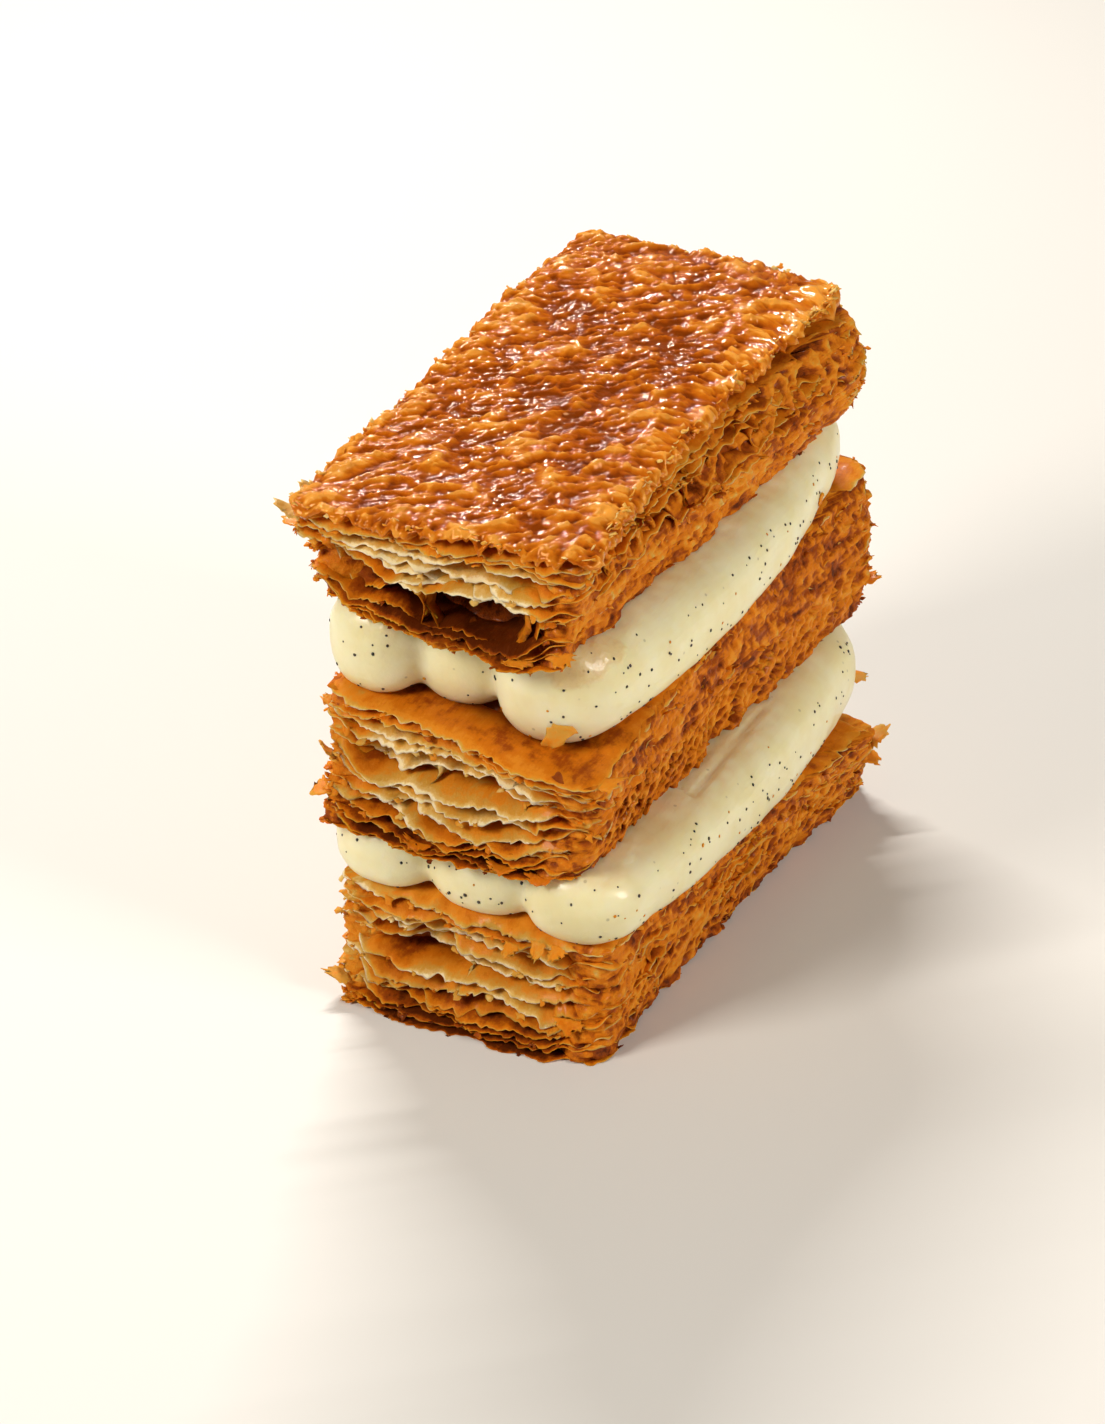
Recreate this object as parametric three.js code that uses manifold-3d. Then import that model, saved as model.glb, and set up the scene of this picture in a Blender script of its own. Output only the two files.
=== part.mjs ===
// A slice of mille feuille: three slabs of baked puff pastry with two layers of piped vanilla cream between.
// Millimetres, +Z up. The narrow cut face looks toward -Y and the slice's long sides run along Y.
import * as THREE from 'three';
import { ImprovedNoise } from 'three/addons/math/ImprovedNoise.js';
import { mergeVertices } from 'three/addons/utils/BufferGeometryUtils.js';
import Module from 'manifold-3d';

const wasm = await Module();
wasm.setup();

// ---------------------------------------------------------------- driving dimensions
const CONTACT_GAP = 0.3; // between cream and pastry
const LEAF_CREST = 0.5; // how far a leaf's edge stands out from the slab's side
const LEAF_GROOVE = 0.9; // how far the side falls back between two leaves
const EDGE_RAGGED = 0.7; // uneven breaking of the leaf edges along a side
const LEAF_WAVE = 0.5; // how far a leaf wanders up and down
const GLAZE_RELIEF = 0.55; // blisters on the glazed top
const TIP_SPREAD = 6; // length of leaf edge that a long tip is drawn out from
const KEEP_OUT = 3; // margin round a slab that cream beside it stays clear of

const SIDE_STEPS = [17, 27, 17, 27]; // points along the front, right, back and left side
const CORNER_STEPS = 4; // steps round a corner
const LEVELS = 13; // rings up the height of a slab

const ROPE_AROUND = 14; // points round a piped rope
const ROPE_ALONG = 13; // sections along a piped rope

// A slab's corners run front left, front right, back right, back left. Floor and lid corners are [x, y, z],
// and waist corners are [x, y] at half height. A bow is how far the middle of the front, right, back and left
// side stands out, at the floor and at the lid, a radius rounds a corner, and a tip is one long leaf edge
// near a corner.
const BOTTOM_SLAB = {
  floor: [[-22, -44.3, 0], [18.6, -43, 0], [22.3, 42.3, 0], [-22.5, 42, 0]],
  waist: [[-23, -42.4], [19, -40.2], [24.2, 41.6], [-23, 42]],
  lid: [[-23.4, -41.4, 19.8], [18.4, -41.2, 18.2], [25.2, 41.2, 12.4], [-23, 42, 16]],
  floorBow: [0.4, -0.8, 0.5, 0.5],
  lidBow: [0.4, -1.2, 0.5, 0.5],
  radius: [1.5, 4, 4, 4],
  tips: [{ corner: 0, level: 2, reach: 4 }, { corner: 2, level: 10, reach: 1 }],
};
const MIDDLE_SLAB = {
  floor: [[-25, -43.8, 28.6], [14.6, -42, 28.6], [19, 49, 28.6], [-25.5, 48, 28.6]],
  waist: [[-24.6, -41.2], [17, -41.3], [20.2, 50], [-26, 50.5]],
  lid: [[-25.2, -40.2, 49.8], [18.6, -45.4, 47], [17, 53, 50.8], [-25, 52.5, 50.8]],
  floorBow: [0.3, -0.4, 0.5, 0.5],
  lidBow: [0.3, -0.8, 0.5, 0.5],
  radius: [1.5, 5, 6, 4],
  tips: [{ corner: 2, level: 4, reach: 1.8 }, { corner: 0, level: 2, reach: 0.8 }],
};
const TOP_SLAB = {
  floor: [[-26, -37.8, 62.2], [12.2, -42.6, 62.2], [15.6, 51.5, 62.2], [-32.5, 51.5, 62.2]],
  waist: [[-28.6, -39.6], [13.4, -40.2], [19, 49.8], [-33.8, 52.8]],
  lid: [[-28, -42.6, 78.4], [15.6, -39.6, 79.2], [12.6, 52.4, 79.2], [-32.6, 53.6, 79.4]],
  floorBow: [0.2, 0.4, 0.6, 0.4],
  lidBow: [0.2, -3, 0.6, 0.2],
  radius: [2, 2, 9, 4],
  tips: [{ corner: 0, level: 10, reach: 1.2 }, { corner: 0, level: 6, reach: 1.2 }],
};
// The hollow between loose leaves in the top slab's front, as parts of the front side and of the height.
const HOLLOW = { from: 0.42, to: 0.94, low: 0.12, high: 0.4, depth: 3.2 };

// Ropes of cream as piped, left to right: x where they start, at mid length and at their end.
const UPPER_ROPES = [
  { x: [-18.2, -19, -20.5], front: -41.2, back: 50.5, half: 8.6 },
  { x: [-5.8, -4.4, -5.5], front: -37.4, back: 51.5, half: 8.6 },
  { x: [7, 12, 4.2], front: -39.6, back: 51, half: 8.7 },
];
const LOWER_ROPES = [
  { x: [-17.8, -17, -15], front: -42.4, back: 44, half: 8.4 },
  { x: [-3.4, -0.6, -1], front: -42, back: 45, half: 9.4 },
  { x: [11.4, 15.6, 11.4], front: -42.6, back: 45.5, half: 8.6 },
];
const ROPE_SQUARENESS = 2.5; // 2 is a round section, more is flatter where the slabs press it
const ROPE_END = 7.5; // length over which a rope's end rounds off, seen from above
const ROPE_SINK = 0.5; // how far a rope is pressed into the slabs' faces before it is cut to them
const CREAM_RIPPLE = 0.25;

// One broken leaf of pastry stuck to the front of the upper cream.
const LOOSE_FLAKE = { size: [5.2, 0.9, 4.4], at: [11, -38.6, 51.6], lean: -0.6, turn: 0.3 };

const CARAMEL = new THREE.Color(0xb9651f);
const GOLDEN = new THREE.Color(0xc9833a);
const CREAM = new THREE.Color(0xe8dcae);

// ---------------------------------------------------------------- helpers
const noise = new ImprovedNoise();

function waver(x, y, z, wavelength) {
  return noise.noise(x / wavelength + 7.3, y / wavelength + 3.1, z / wavelength + 11.7);
}

function through(start, middle, end, t) {
  const startShare = 2 * (t - 0.5) * (t - 1);
  const middleShare = 4 * t * (1 - t);
  const endShare = 2 * t * (t - 0.5);
  return startShare * start + middleShare * middle + endShare * end;
}

function closedGeometry({ points, faces }) {
  const geometry = new THREE.BufferGeometry();
  geometry.setAttribute('position', new THREE.Float32BufferAttribute(points.flatMap((p) => [p.x, p.y, p.z]), 3));
  geometry.setIndex(faces);
  return geometry;
}

function toManifold(geometry) {
  const merged = mergeVertices(geometry);
  return new wasm.Manifold(
    new wasm.Mesh({
      numProp: 3,
      vertProperties: new Float32Array(merged.attributes.position.array),
      triVerts: new Uint32Array(merged.index.array),
    }),
  );
}

function fromManifold(solid) {
  const mesh = solid.getMesh();
  const geometry = new THREE.BufferGeometry();
  geometry.setAttribute('position', new THREE.BufferAttribute(new Float32Array(mesh.vertProperties), 3));
  geometry.setIndex(new THREE.BufferAttribute(new Uint32Array(mesh.triVerts), 1));
  return geometry;
}

// ---------------------------------------------------------------- pastry slabs
function slabCorners(slab, height) {
  return slab.floor.map((floor, i) => {
    const waist = slab.waist[i];
    const lid = slab.lid[i];
    const x = through(floor[0], waist[0], lid[0], height);
    const y = through(floor[1], waist[1], lid[1], height);
    return new THREE.Vector3(x, y, THREE.MathUtils.lerp(floor[2], lid[2], height));
  });
}

function pointOnSide(start, end, bow, t) {
  const point = start.clone().lerp(end, t);
  const outward = new THREE.Vector3(end.y - start.y, start.x - end.x, 0).normalize();
  return point.addScaledVector(outward, bow * 4 * t * (1 - t));
}

// One ring round the slab, counter-clockwise from above, with its corners rounded.
function slabOutline(slab, height) {
  const corners = slabCorners(slab, height);
  const sides = corners.map((start, i) => {
    const end = corners[(i + 1) % 4];
    const run = start.distanceTo(end);
    const first = slab.radius[i] / run;
    const last = 1 - slab.radius[(i + 1) % 4] / run;
    const bow = THREE.MathUtils.lerp(slab.floorBow[i], slab.lidBow[i], height);
    const at = (t) => pointOnSide(start, end, bow, THREE.MathUtils.lerp(first, last, t));
    return { at, end };
  });
  return sides.flatMap((side, i) => {
    const along = Array.from({ length: SIDE_STEPS[i] + 1 }, (_, k) => side.at(k / SIDE_STEPS[i]));
    const round = new THREE.QuadraticBezierCurve3(side.at(1), side.end, sides[(i + 1) % 4].at(0));
    return [...along, ...round.getPoints(CORNER_STEPS).slice(1, -1)];
  });
}

function outwardNormals(ring) {
  return ring.map((_, i) => {
    const before = ring[(i + ring.length - 1) % ring.length];
    const after = ring[(i + 1) % ring.length];
    return new THREE.Vector3(after.y - before.y, before.x - after.x, 0).normalize();
  });
}

function hollowDepth(hollow, point, index, height) {
  const along = index / SIDE_STEPS[0];
  const inside = along > hollow.from && along < hollow.to && height > hollow.low && height < hollow.high;
  return inside ? hollow.depth * (0.75 + 0.5 * waver(point.x, point.y, point.z, 5)) : 0;
}

function tipReach(tips, corner, point, level) {
  const near = tips.filter((tip) => tip.level === level && corner[tip.corner].distanceTo(point) < TIP_SPREAD);
  return near.reduce((sum, tip) => sum + tip.reach * (1 - corner[tip.corner].distanceTo(point) / TIP_SPREAD), 0);
}

// A ring of leaf edges: even levels stand out, odd levels fall back, and both break unevenly.
function leafRing(slab, level, hollow) {
  const height = level / (LEVELS - 1);
  const ring = slabOutline(slab, height);
  const normals = outwardNormals(ring);
  const corners = slabCorners(slab, height);
  const flatEnd = level === 0 || level === LEVELS - 1;
  return ring.map((point, i) => {
    const ragged = EDGE_RAGGED * (waver(point.x, point.y, level * 9, 6) + waver(point.x, point.y, level * 9, 2.7));
    const leaf = level % 2 === 0 ? LEAF_CREST : -LEAF_GROOVE;
    let out = leaf * (0.7 + 0.9 * Math.abs(waver(point.x, point.y, level * 5, 11))) + ragged;
    out += tipReach(slab.tips, corners, point, level);
    out -= hollow && i <= SIDE_STEPS[0] ? hollowDepth(hollow, point, i, height) : 0;
    const lift = flatEnd ? 0 : LEAF_WAVE * waver(point.x, point.y, height * 2, 14);
    return point.clone().addScaledVector(normals[i], flatEnd ? Math.min(out, LEAF_CREST) : out).setZ(point.z + lift);
  });
}

function joinRings(faces, lower, upper, count) {
  for (let i = 0; i < count; i += 1) {
    const next = (i + 1) % count;
    faces.push(lower + i, lower + next, upper + next, lower + i, upper + next, upper + i);
  }
}

function middleOf(corners) {
  return corners.reduce((sum, corner) => sum.addScaledVector(corner, 0.25), new THREE.Vector3());
}

// Stacks rings into a side wall, with a fan over the first ring's floor and, if it is given, the last ring's lid.
function stackRings(rings, floorCentre, lidCentre = null) {
  const count = rings[0].length;
  const points = [...rings.flat(), floorCentre];
  const faces = [];
  for (let k = 0; k + 1 < rings.length; k += 1) {
    joinRings(faces, k * count, (k + 1) * count, count);
  }
  const floorIndex = points.length - 1;
  const lastRing = (rings.length - 1) * count;
  if (lidCentre) {
    points.push(lidCentre);
  }
  for (let i = 0; i < count; i += 1) {
    const next = (i + 1) % count;
    faces.push(floorIndex, next, i);
    if (lidCentre) {
      faces.push(floorIndex + 1, lastRing + i, lastRing + next);
    }
  }
  return { points, faces };
}

function glazeLift(point) {
  return GLAZE_RELIEF * (1.4 * waver(point.x / 2, point.y, 0, 4.6) + 1.6 * waver(point.x, point.y, 4, 17));
}

// Covers the last ring with a grid that blends its four sides, and raises the glaze's blisters on it.
function glazedLid({ points, faces }, rim) {
  const half = CORNER_STEPS / 2;
  const columns = SIDE_STEPS[0] + 2 * half;
  const rows = SIDE_STEPS[1] + 2 * half;
  const firstOfRim = points.length - 1 - rim.length;
  const onRim = (k) => (k - half + rim.length) % rim.length;
  const rimIndex = (column, row) => {
    if (row === 0) return onRim(column);
    if (column === columns) return onRim(columns + row);
    if (row === rows) return onRim(2 * columns + rows - column);
    return column === 0 ? onRim(2 * (columns + rows) - row) : -1;
  };
  const at = (column, row) => rim[rimIndex(column, row)];
  const blend = (column, row) => {
    const u = column / columns;
    const v = row / rows;
    const along = at(0, row).clone().lerp(at(columns, row), u);
    const across = at(column, 0).clone().lerp(at(column, rows), v);
    const front = at(0, 0).clone().lerp(at(columns, 0), u);
    const corners = front.lerp(at(0, rows).clone().lerp(at(columns, rows), u), v);
    return along.add(across).sub(corners);
  };
  const grid = [];
  for (let row = 0; row <= rows; row += 1) {
    for (let column = 0; column <= columns; column += 1) {
      const rimPoint = rimIndex(column, row);
      if (rimPoint < 0) {
        const point = blend(column, row);
        points.push(point.setZ(point.z + glazeLift(point)));
      }
      grid.push(rimPoint < 0 ? points.length - 1 : firstOfRim + rimPoint);
    }
  }
  for (let row = 0; row < rows; row += 1) {
    for (let column = 0; column < columns; column += 1) {
      const here = row * (columns + 1) + column;
      const [a, b, c, d] = [here, here + 1, here + columns + 2, here + columns + 1].map((k) => grid[k]);
      faces.push(a, b, c, a, c, d);
    }
  }
}

function slabGeometry(slab, { hollow = null, glazed = false } = {}) {
  const rings = Array.from({ length: LEVELS }, (_, level) => leafRing(slab, level, hollow));
  const floorCentre = middleOf(slabCorners(slab, 0));
  const shell = stackRings(rings, floorCentre, glazed ? null : middleOf(slabCorners(slab, 1)));
  if (glazed) {
    glazedLid(shell, rings[LEVELS - 1]);
  }
  return closedGeometry(shell);
}

// A plain block round a slab, wide enough to hold every leaf edge, that cream is cut to.
function keepOut(slab) {
  const rings = [0, 1].map((height) => {
    const ring = slabOutline(slab, height);
    const normals = outwardNormals(ring);
    const lift = height === 0 ? -CONTACT_GAP : CONTACT_GAP;
    return ring.map((point, i) => point.clone().addScaledVector(normals[i], KEEP_OUT).setZ(point.z + lift));
  });
  const floorCentre = middleOf(slabCorners(slab, 0));
  const lidCentre = middleOf(slabCorners(slab, 1));
  floorCentre.z -= CONTACT_GAP;
  lidCentre.z += CONTACT_GAP;
  return toManifold(closedGeometry(stackRings(rings, floorCentre, lidCentre)));
}

// ---------------------------------------------------------------- piped cream
// Height of a slab's floor or lid over a place, from its four corners.
function faceHeight(corners, x, y) {
  const [frontLeft, frontRight, backRight, backLeft] = corners;
  const along = (y - frontLeft[1]) / (backLeft[1] - frontLeft[1]);
  const across = (x - frontLeft[0]) / (frontRight[0] - frontLeft[0]);
  const front = THREE.MathUtils.lerp(frontLeft[2], frontRight[2], across);
  const back = THREE.MathUtils.lerp(backLeft[2], backRight[2], across);
  return THREE.MathUtils.lerp(front, back, along);
}

function roundOff(distance, length) {
  return Math.sqrt(1 - Math.max(0, 1 - distance / length) ** 2);
}

function ropePoint(rope, below, above, along, angle) {
  const y = THREE.MathUtils.lerp(rope.front, rope.back, along);
  const centreX = through(...rope.x, along);
  const endDistance = Math.min(y - rope.front, rope.back - y);
  const cosine = Math.cos(angle);
  const sine = Math.sin(angle);
  const power = 2 / ROPE_SQUARENESS;
  const across = Math.sign(cosine) * Math.abs(cosine) ** power * rope.half * roundOff(endDistance, ROPE_END);
  const bottom = faceHeight(below.lid, centreX, y) - ROPE_SINK;
  const top = faceHeight(above.floor, centreX, y) + ROPE_SINK;
  const halfHeight = ((top - bottom) / 2) * roundOff(endDistance, ROPE_END / 2);
  const rise = Math.sign(sine) * Math.abs(sine) ** power * halfHeight;
  const ripple = CREAM_RIPPLE * waver(centreX, y, angle * 4, 6);
  return new THREE.Vector3(centreX + across + ripple * cosine, y, (top + bottom) / 2 + rise);
}

function ropeSolid(rope, below, above) {
  const rings = Array.from({ length: ROPE_ALONG }, (_, k) => {
    const along = 0.5 - 0.5 * Math.cos((Math.PI * (k + 0.5)) / ROPE_ALONG);
    return Array.from({ length: ROPE_AROUND }, (__, i) => {
      const angle = (-2 * Math.PI * i) / ROPE_AROUND;
      return ropePoint(rope, below, above, along, angle);
    });
  });
  const frontTip = ropePoint(rope, below, above, 0, 0).setX(rope.x[0]);
  const backTip = ropePoint(rope, below, above, 1, 0).setX(rope.x[2]);
  return toManifold(closedGeometry(stackRings(rings, frontTip, backTip)));
}

function flakeSolid(flake) {
  const plate = new THREE.BoxGeometry(...flake.size);
  plate.rotateX(flake.lean).rotateZ(flake.turn).translate(...flake.at);
  plate.deleteAttribute('normal');
  plate.deleteAttribute('uv');
  return toManifold(plate);
}

function creamGeometry(ropes, below, above, flake = null) {
  const piped = ropes.map((rope) => ropeSolid(rope, below, above)).reduce((sum, solid) => sum.add(solid));
  const dressed = flake ? piped.add(flakeSolid(flake)) : piped;
  return fromManifold(dressed.subtract(keepOut(below)).subtract(keepOut(above)));
}

// ---------------------------------------------------------------- the slice
function pieceOfFood(name, geometry, color, roughness) {
  const mesh = new THREE.Mesh(geometry, new THREE.MeshStandardMaterial({ color, roughness, metalness: 0 }));
  mesh.name = name;
  return mesh;
}

const slice = new THREE.Group();
slice.add(
  pieceOfFood('pastry_bottom', slabGeometry(BOTTOM_SLAB), GOLDEN, 0.7),
  pieceOfFood('cream_lower', creamGeometry(LOWER_ROPES, BOTTOM_SLAB, MIDDLE_SLAB), CREAM, 0.35),
  pieceOfFood('pastry_middle', slabGeometry(MIDDLE_SLAB), GOLDEN, 0.7),
  pieceOfFood('cream_upper', creamGeometry(UPPER_ROPES, MIDDLE_SLAB, TOP_SLAB, LOOSE_FLAKE), CREAM, 0.35),
  pieceOfFood('pastry_top', slabGeometry(TOP_SLAB, { hollow: HOLLOW, glazed: true }), CARAMEL, 0.3),
);

// The slice stands on z = 0 with its footprint centred on the origin.
const box = new THREE.Box3().setFromObject(slice, true);
slice.position.set(-(box.min.x + box.max.x) / 2, -(box.min.y + box.max.y) / 2, -box.min.z);

export default slice;
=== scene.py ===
# %% [markdown]
# # A slice of mille feuille
# Three slabs of baked puff pastry are stacked with two layers of piped vanilla cream.
# The looks of puff pastry come from its build: dozens of leaves of dough, thinner than paper,
# that steam has blown apart and the oven has browned from outside in. This lesson follows the
# pastry cook: bake the leaves, glaze the lid, pipe the cream, and scatter the crumbs.

import bpy
import numpy as np
from mathutils import Matrix, Vector


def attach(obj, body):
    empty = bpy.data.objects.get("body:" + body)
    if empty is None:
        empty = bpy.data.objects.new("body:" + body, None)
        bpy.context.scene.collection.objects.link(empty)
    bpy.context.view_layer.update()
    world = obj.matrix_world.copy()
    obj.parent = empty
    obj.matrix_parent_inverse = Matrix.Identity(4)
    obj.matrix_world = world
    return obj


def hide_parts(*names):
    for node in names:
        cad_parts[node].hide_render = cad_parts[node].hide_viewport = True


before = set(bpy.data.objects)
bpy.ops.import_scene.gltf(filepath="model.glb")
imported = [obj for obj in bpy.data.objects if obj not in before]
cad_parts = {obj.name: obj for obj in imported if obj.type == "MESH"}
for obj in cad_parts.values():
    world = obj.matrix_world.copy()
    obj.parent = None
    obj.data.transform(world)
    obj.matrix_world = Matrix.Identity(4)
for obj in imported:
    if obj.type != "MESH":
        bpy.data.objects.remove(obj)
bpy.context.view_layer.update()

# %% [markdown]
# ## Camera
# Food is often shown a little from above with a long lens, so that the front face and one long
# side are both seen and their edges stay nearly parallel. The camera is set by its place, by the
# point it looks at and by a slight roll, because these are what one turns on a tripod.

# %% Camera
MM = 0.001
EYE, TARGET = (202.52, -404.07, 303.98), (-6.654, -3.606, 26.9)  # mm
ROLL = -0.39  # degrees
FOCAL_LENGTH, SENSOR_WIDTH = 91.0, 36.0  # mm


def look(position, target, roll_degrees):
    """A camera matrix at `position` (mm) that looks at `target` (mm)."""
    ahead = (Vector(target) - Vector(position)).normalized()
    right = ahead.cross(Vector((0, 0, 1))).normalized()
    up = right.cross(ahead)
    roll = np.radians(roll_degrees)
    rolled_right = right * np.cos(roll) + up * np.sin(roll)
    rolled_up = up * np.cos(roll) - right * np.sin(roll)
    turn = Matrix((rolled_right, rolled_up, -ahead)).transposed().to_4x4()
    return Matrix.Translation(Vector(position) * MM) @ turn


lens = bpy.data.cameras.new("camera")
lens.lens = FOCAL_LENGTH
lens.sensor_width = SENSOR_WIDTH
lens.clip_start = 0.01
camera = bpy.data.objects.new("camera", lens)
camera.matrix_world = look(EYE, TARGET, ROLL)
bpy.context.scene.collection.objects.link(camera)
bpy.context.scene.camera = camera
bpy.context.scene.view_settings.view_transform = "Standard"
print("camera", [round(v, 3) for v in camera.location], "lens", lens.lens)

# %% [markdown]
# ## The plan of the slice
# Each slab is a leaning block: its floor, waist and lid have their own corners (front left, front
# right, back right, back left, in mm), a side bows out or in by a little, and corners are rounded.
# The same numbers shaped the solid model, so the pastry fits over it exactly. `SHIFT` moves the
# plan so that the footprint is centred on the origin.

# %% The three slabs
SHIFT = np.array([4.186, -3.606, 0.0])
SLABS = {
    "pastry_bottom": dict(
        floor=[[-22, -44.3, 0], [18.6, -43, 0], [22.3, 42.3, 0], [-22.5, 42, 0]],
        waist=[[-23, -42.4], [19, -40.2], [24.2, 41.6], [-23, 42]],
        lid=[[-23.4, -41.4, 19.8], [18.4, -41.2, 18.2], [25.2, 41.2, 12.4], [-23, 42, 16]],
        floor_bow=[0.4, -0.8, 0.5, 0.5], lid_bow=[0.4, -1.2, 0.5, 0.5], radius=[1.5, 4, 4, 4]),
    "pastry_middle": dict(
        floor=[[-25, -43.8, 28.6], [14.6, -42, 28.6], [19, 49, 28.6], [-25.5, 48, 28.6]],
        waist=[[-24.6, -41.2], [17, -41.3], [20.2, 50], [-26, 50.5]],
        lid=[[-25.2, -40.2, 49.8], [18.6, -45.4, 47], [17, 53, 50.8], [-25, 52.5, 50.8]],
        floor_bow=[0.3, -0.4, 0.5, 0.5], lid_bow=[0.3, -0.8, 0.5, 0.5], radius=[1.5, 5, 6, 4]),
    "pastry_top": dict(
        floor=[[-26, -37.8, 62.2], [12.2, -42.6, 62.2], [15.6, 51.5, 62.2], [-32.5, 51.5, 62.2]],
        waist=[[-28.6, -39.6], [13.4, -40.2], [19, 49.8], [-33.8, 52.8]],
        lid=[[-28, -42.6, 78.4], [15.6, -39.6, 79.2], [12.6, 52.4, 79.2], [-32.6, 53.6, 79.4]],
        floor_bow=[0.2, 0.4, 0.6, 0.4], lid_bow=[0.2, -3, 0.6, 0.2], radius=[2, 2, 9, 4]),
}
FRONT, RIGHT, BACK, LEFT = range(4)
print("slabs:", ", ".join(SLABS))


# %% Corners, sides and faces of a slab
def corner(slab, index, height):
    """Plan place of one corner (or of an array of them) at a height from 0, floor, to 1, lid."""
    floor = np.array(slab["floor"], float)[index][..., :2]
    waist = np.array(slab["waist"], float)[index]
    lid = np.array(slab["lid"], float)[index][..., :2]
    low = 2 * (height - 0.5) * (height - 1)
    mid = 4 * height * (1 - height)
    high = 2 * height * (height - 0.5)
    return low[..., None] * floor + mid[..., None] * waist + high[..., None] * lid


def on_side(slab, side, along, height):
    """A point along a side, between the roundings of its two corners."""
    start, end = corner(slab, side, height), corner(slab, (side + 1) % 4, height)
    run = np.linalg.norm(end - start, axis=-1)
    radius = np.array(slab["radius"], float)
    first, last = radius[side] / run, 1 - radius[(side + 1) % 4] / run
    u = first + (last - first) * along
    floor_bow, lid_bow = np.array(slab["floor_bow"])[side], np.array(slab["lid_bow"])[side]
    bow = floor_bow * (1 - height) + lid_bow * height
    outward = np.stack([end[..., 1] - start[..., 1], start[..., 0] - end[..., 0]], -1)
    outward = outward / run[..., None]
    return start + (end - start) * u[..., None] + outward * (bow * 4 * u * (1 - u))[..., None]


def face_height(slab, face, x, y):
    """Height in mm of the slab's floor or lid over a place, from its four corners."""
    fl, fr, br, bl = np.array(slab[face], float)
    along = (y - fl[1]) / (bl[1] - fl[1])
    across = (x - fl[0]) / (fr[0] - fl[0])
    at_front = fl[2] * (1 - across) + fr[2] * across
    at_back = bl[2] * (1 - across) + br[2] * across
    return at_front * (1 - along) + at_back * along


for name, slab in SLABS.items():
    print("%s is %.1f mm thick in its middle" % (
        name, face_height(slab, "lid", 0.0, 0.0) - face_height(slab, "floor", 0.0, 0.0)))

# %% [markdown]
# ## Walking round a slab
# Everything on a slab is laid out like a tape wrapped round it: *stations* run round the edge,
# counter-clockwise from the front left corner, and *depth* runs from the edge to the inside.
# The front is what the eye studies, so its stations stand closest together.

# %% Soft steps, and moving inward
def smooth_step(t):
    """Rises from 0 to 1 with flat ends, as `t` goes from 0 to 1."""
    t = np.clip(t, 0, 1)
    return t * t * (3 - 2 * t)


def inward(plan, depth, slab):
    """Moves a plan point towards the slab's middle line by `depth` mm."""
    corners = np.array(slab["waist"], float)
    middle = corners.mean(0)
    half = (corners.max(0) - corners.min(0)) / 2
    return middle + (plan - middle) * (1 - np.asarray(depth)[..., None] / half)


print("a soft step at 0.25, 0.5 and 0.75:", smooth_step(np.array([0.25, 0.5, 0.75])))


# %% Stations round a slab
class Stations:
    """Where the edge of a slab is sampled: side, place along it, and distance walked in mm."""

    ARC = 1.6  # length of a rounded corner whose radius is 1

    def __init__(self, slab, spacing):
        side, along, bend, walked = [], [], [], []
        gone = 0.0
        half = np.array(0.5)
        for s in range(4):
            start, end = (on_side(slab, s, np.array(u), half) for u in (0.0, 1.0))
            run = float(np.linalg.norm(end - start))
            count = max(4, int(run / spacing[s]))
            steps = np.arange(count + 1) / count
            side += [s] * (count + 1)
            along += list(steps)
            bend += [-1.0] * (count + 1)
            walked += list(gone + steps * run)
            gone += run
            arc = self.ARC * slab["radius"][(s + 1) % 4]
            turns = max(3, int(arc / min(spacing[s], spacing[(s + 1) % 4])))
            inner = np.arange(1, turns) / turns
            side += [s] * (turns - 1)
            along += [1.0] * (turns - 1)
            bend += list(inner)
            walked += list(gone + inner * arc)
            gone += arc
        self.side, self.along = np.array(side), np.array(along)
        self.bend, self.walked, self.around = np.array(bend), np.array(walked), gone
        self.count = len(side)
        ring = self.outline(slab, np.full(self.count, 0.5))
        tangent = np.roll(ring, -1, 0) - np.roll(ring, 1, 0)
        self.out = np.stack([tangent[:, 1], -tangent[:, 0]], -1)
        self.out /= np.linalg.norm(self.out, axis=1)[:, None]

    def outline(self, slab, height):
        """The slab's edge in plan at each station, for heights shaped (..., stations)."""
        straight = on_side(slab, self.side, self.along, height)
        ahead = (self.side + 1) % 4
        a = on_side(slab, self.side, np.ones(self.count), height)
        b = on_side(slab, ahead, np.zeros(self.count), height)
        tip = corner(slab, ahead, height)
        q = np.clip(self.bend, 0, 1)[:, None]
        curve = (1 - q) ** 2 * a + 2 * q * (1 - q) * tip + q * q * b
        return np.where((self.bend >= 0)[:, None], curve, straight)

    def distance_from(self, side, along):
        """How far each station is, round the edge, from a place on a side."""
        here = np.flatnonzero((self.side == side) & (self.bend < 0))
        centre = np.interp(along, self.along[here], self.walked[here])
        gap = np.abs(self.walked - centre)
        return np.minimum(gap, self.around - gap)

    def on(self, side, fade):
        """1 on one side, falling to 0 within `fade` mm of its two corners."""
        here = (self.side == side) & (self.bend < 0)
        start, end = self.walked[here].min(), self.walked[here].max()
        room = np.minimum(self.walked - start, end - self.walked)
        return smooth_step(room / fade)


LEAF_SPACING = (0.2, 0.45, 0.85, 0.7)  # mm between stations on the front, right, back and left
CRUMB_SPACING = (0.6, 0.3, 0.75, 0.65)
print("stations on the middle slab:", Stations(SLABS["pastry_middle"], LEAF_SPACING).count)

# %% [markdown]
# ## Randomness that a baker would recognise
# Steam, tearing and browning are uneven at several sizes at once. Three helpers give all of it:
# `soft_noise` for waves and swellings, `cells` for bubbles in the crumb, and `torn` for the
# zigzag line along which a crisp leaf breaks. All are worked out from fixed seeds, so that every
# baking of this script gives the same slice.

# %% Random numbers for the points of a grid
AXIS_PRIMES = (73856093, 19349663, 83492791)
SHUFFLES = ((13, 1274126177), (15, 2246822519))


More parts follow.
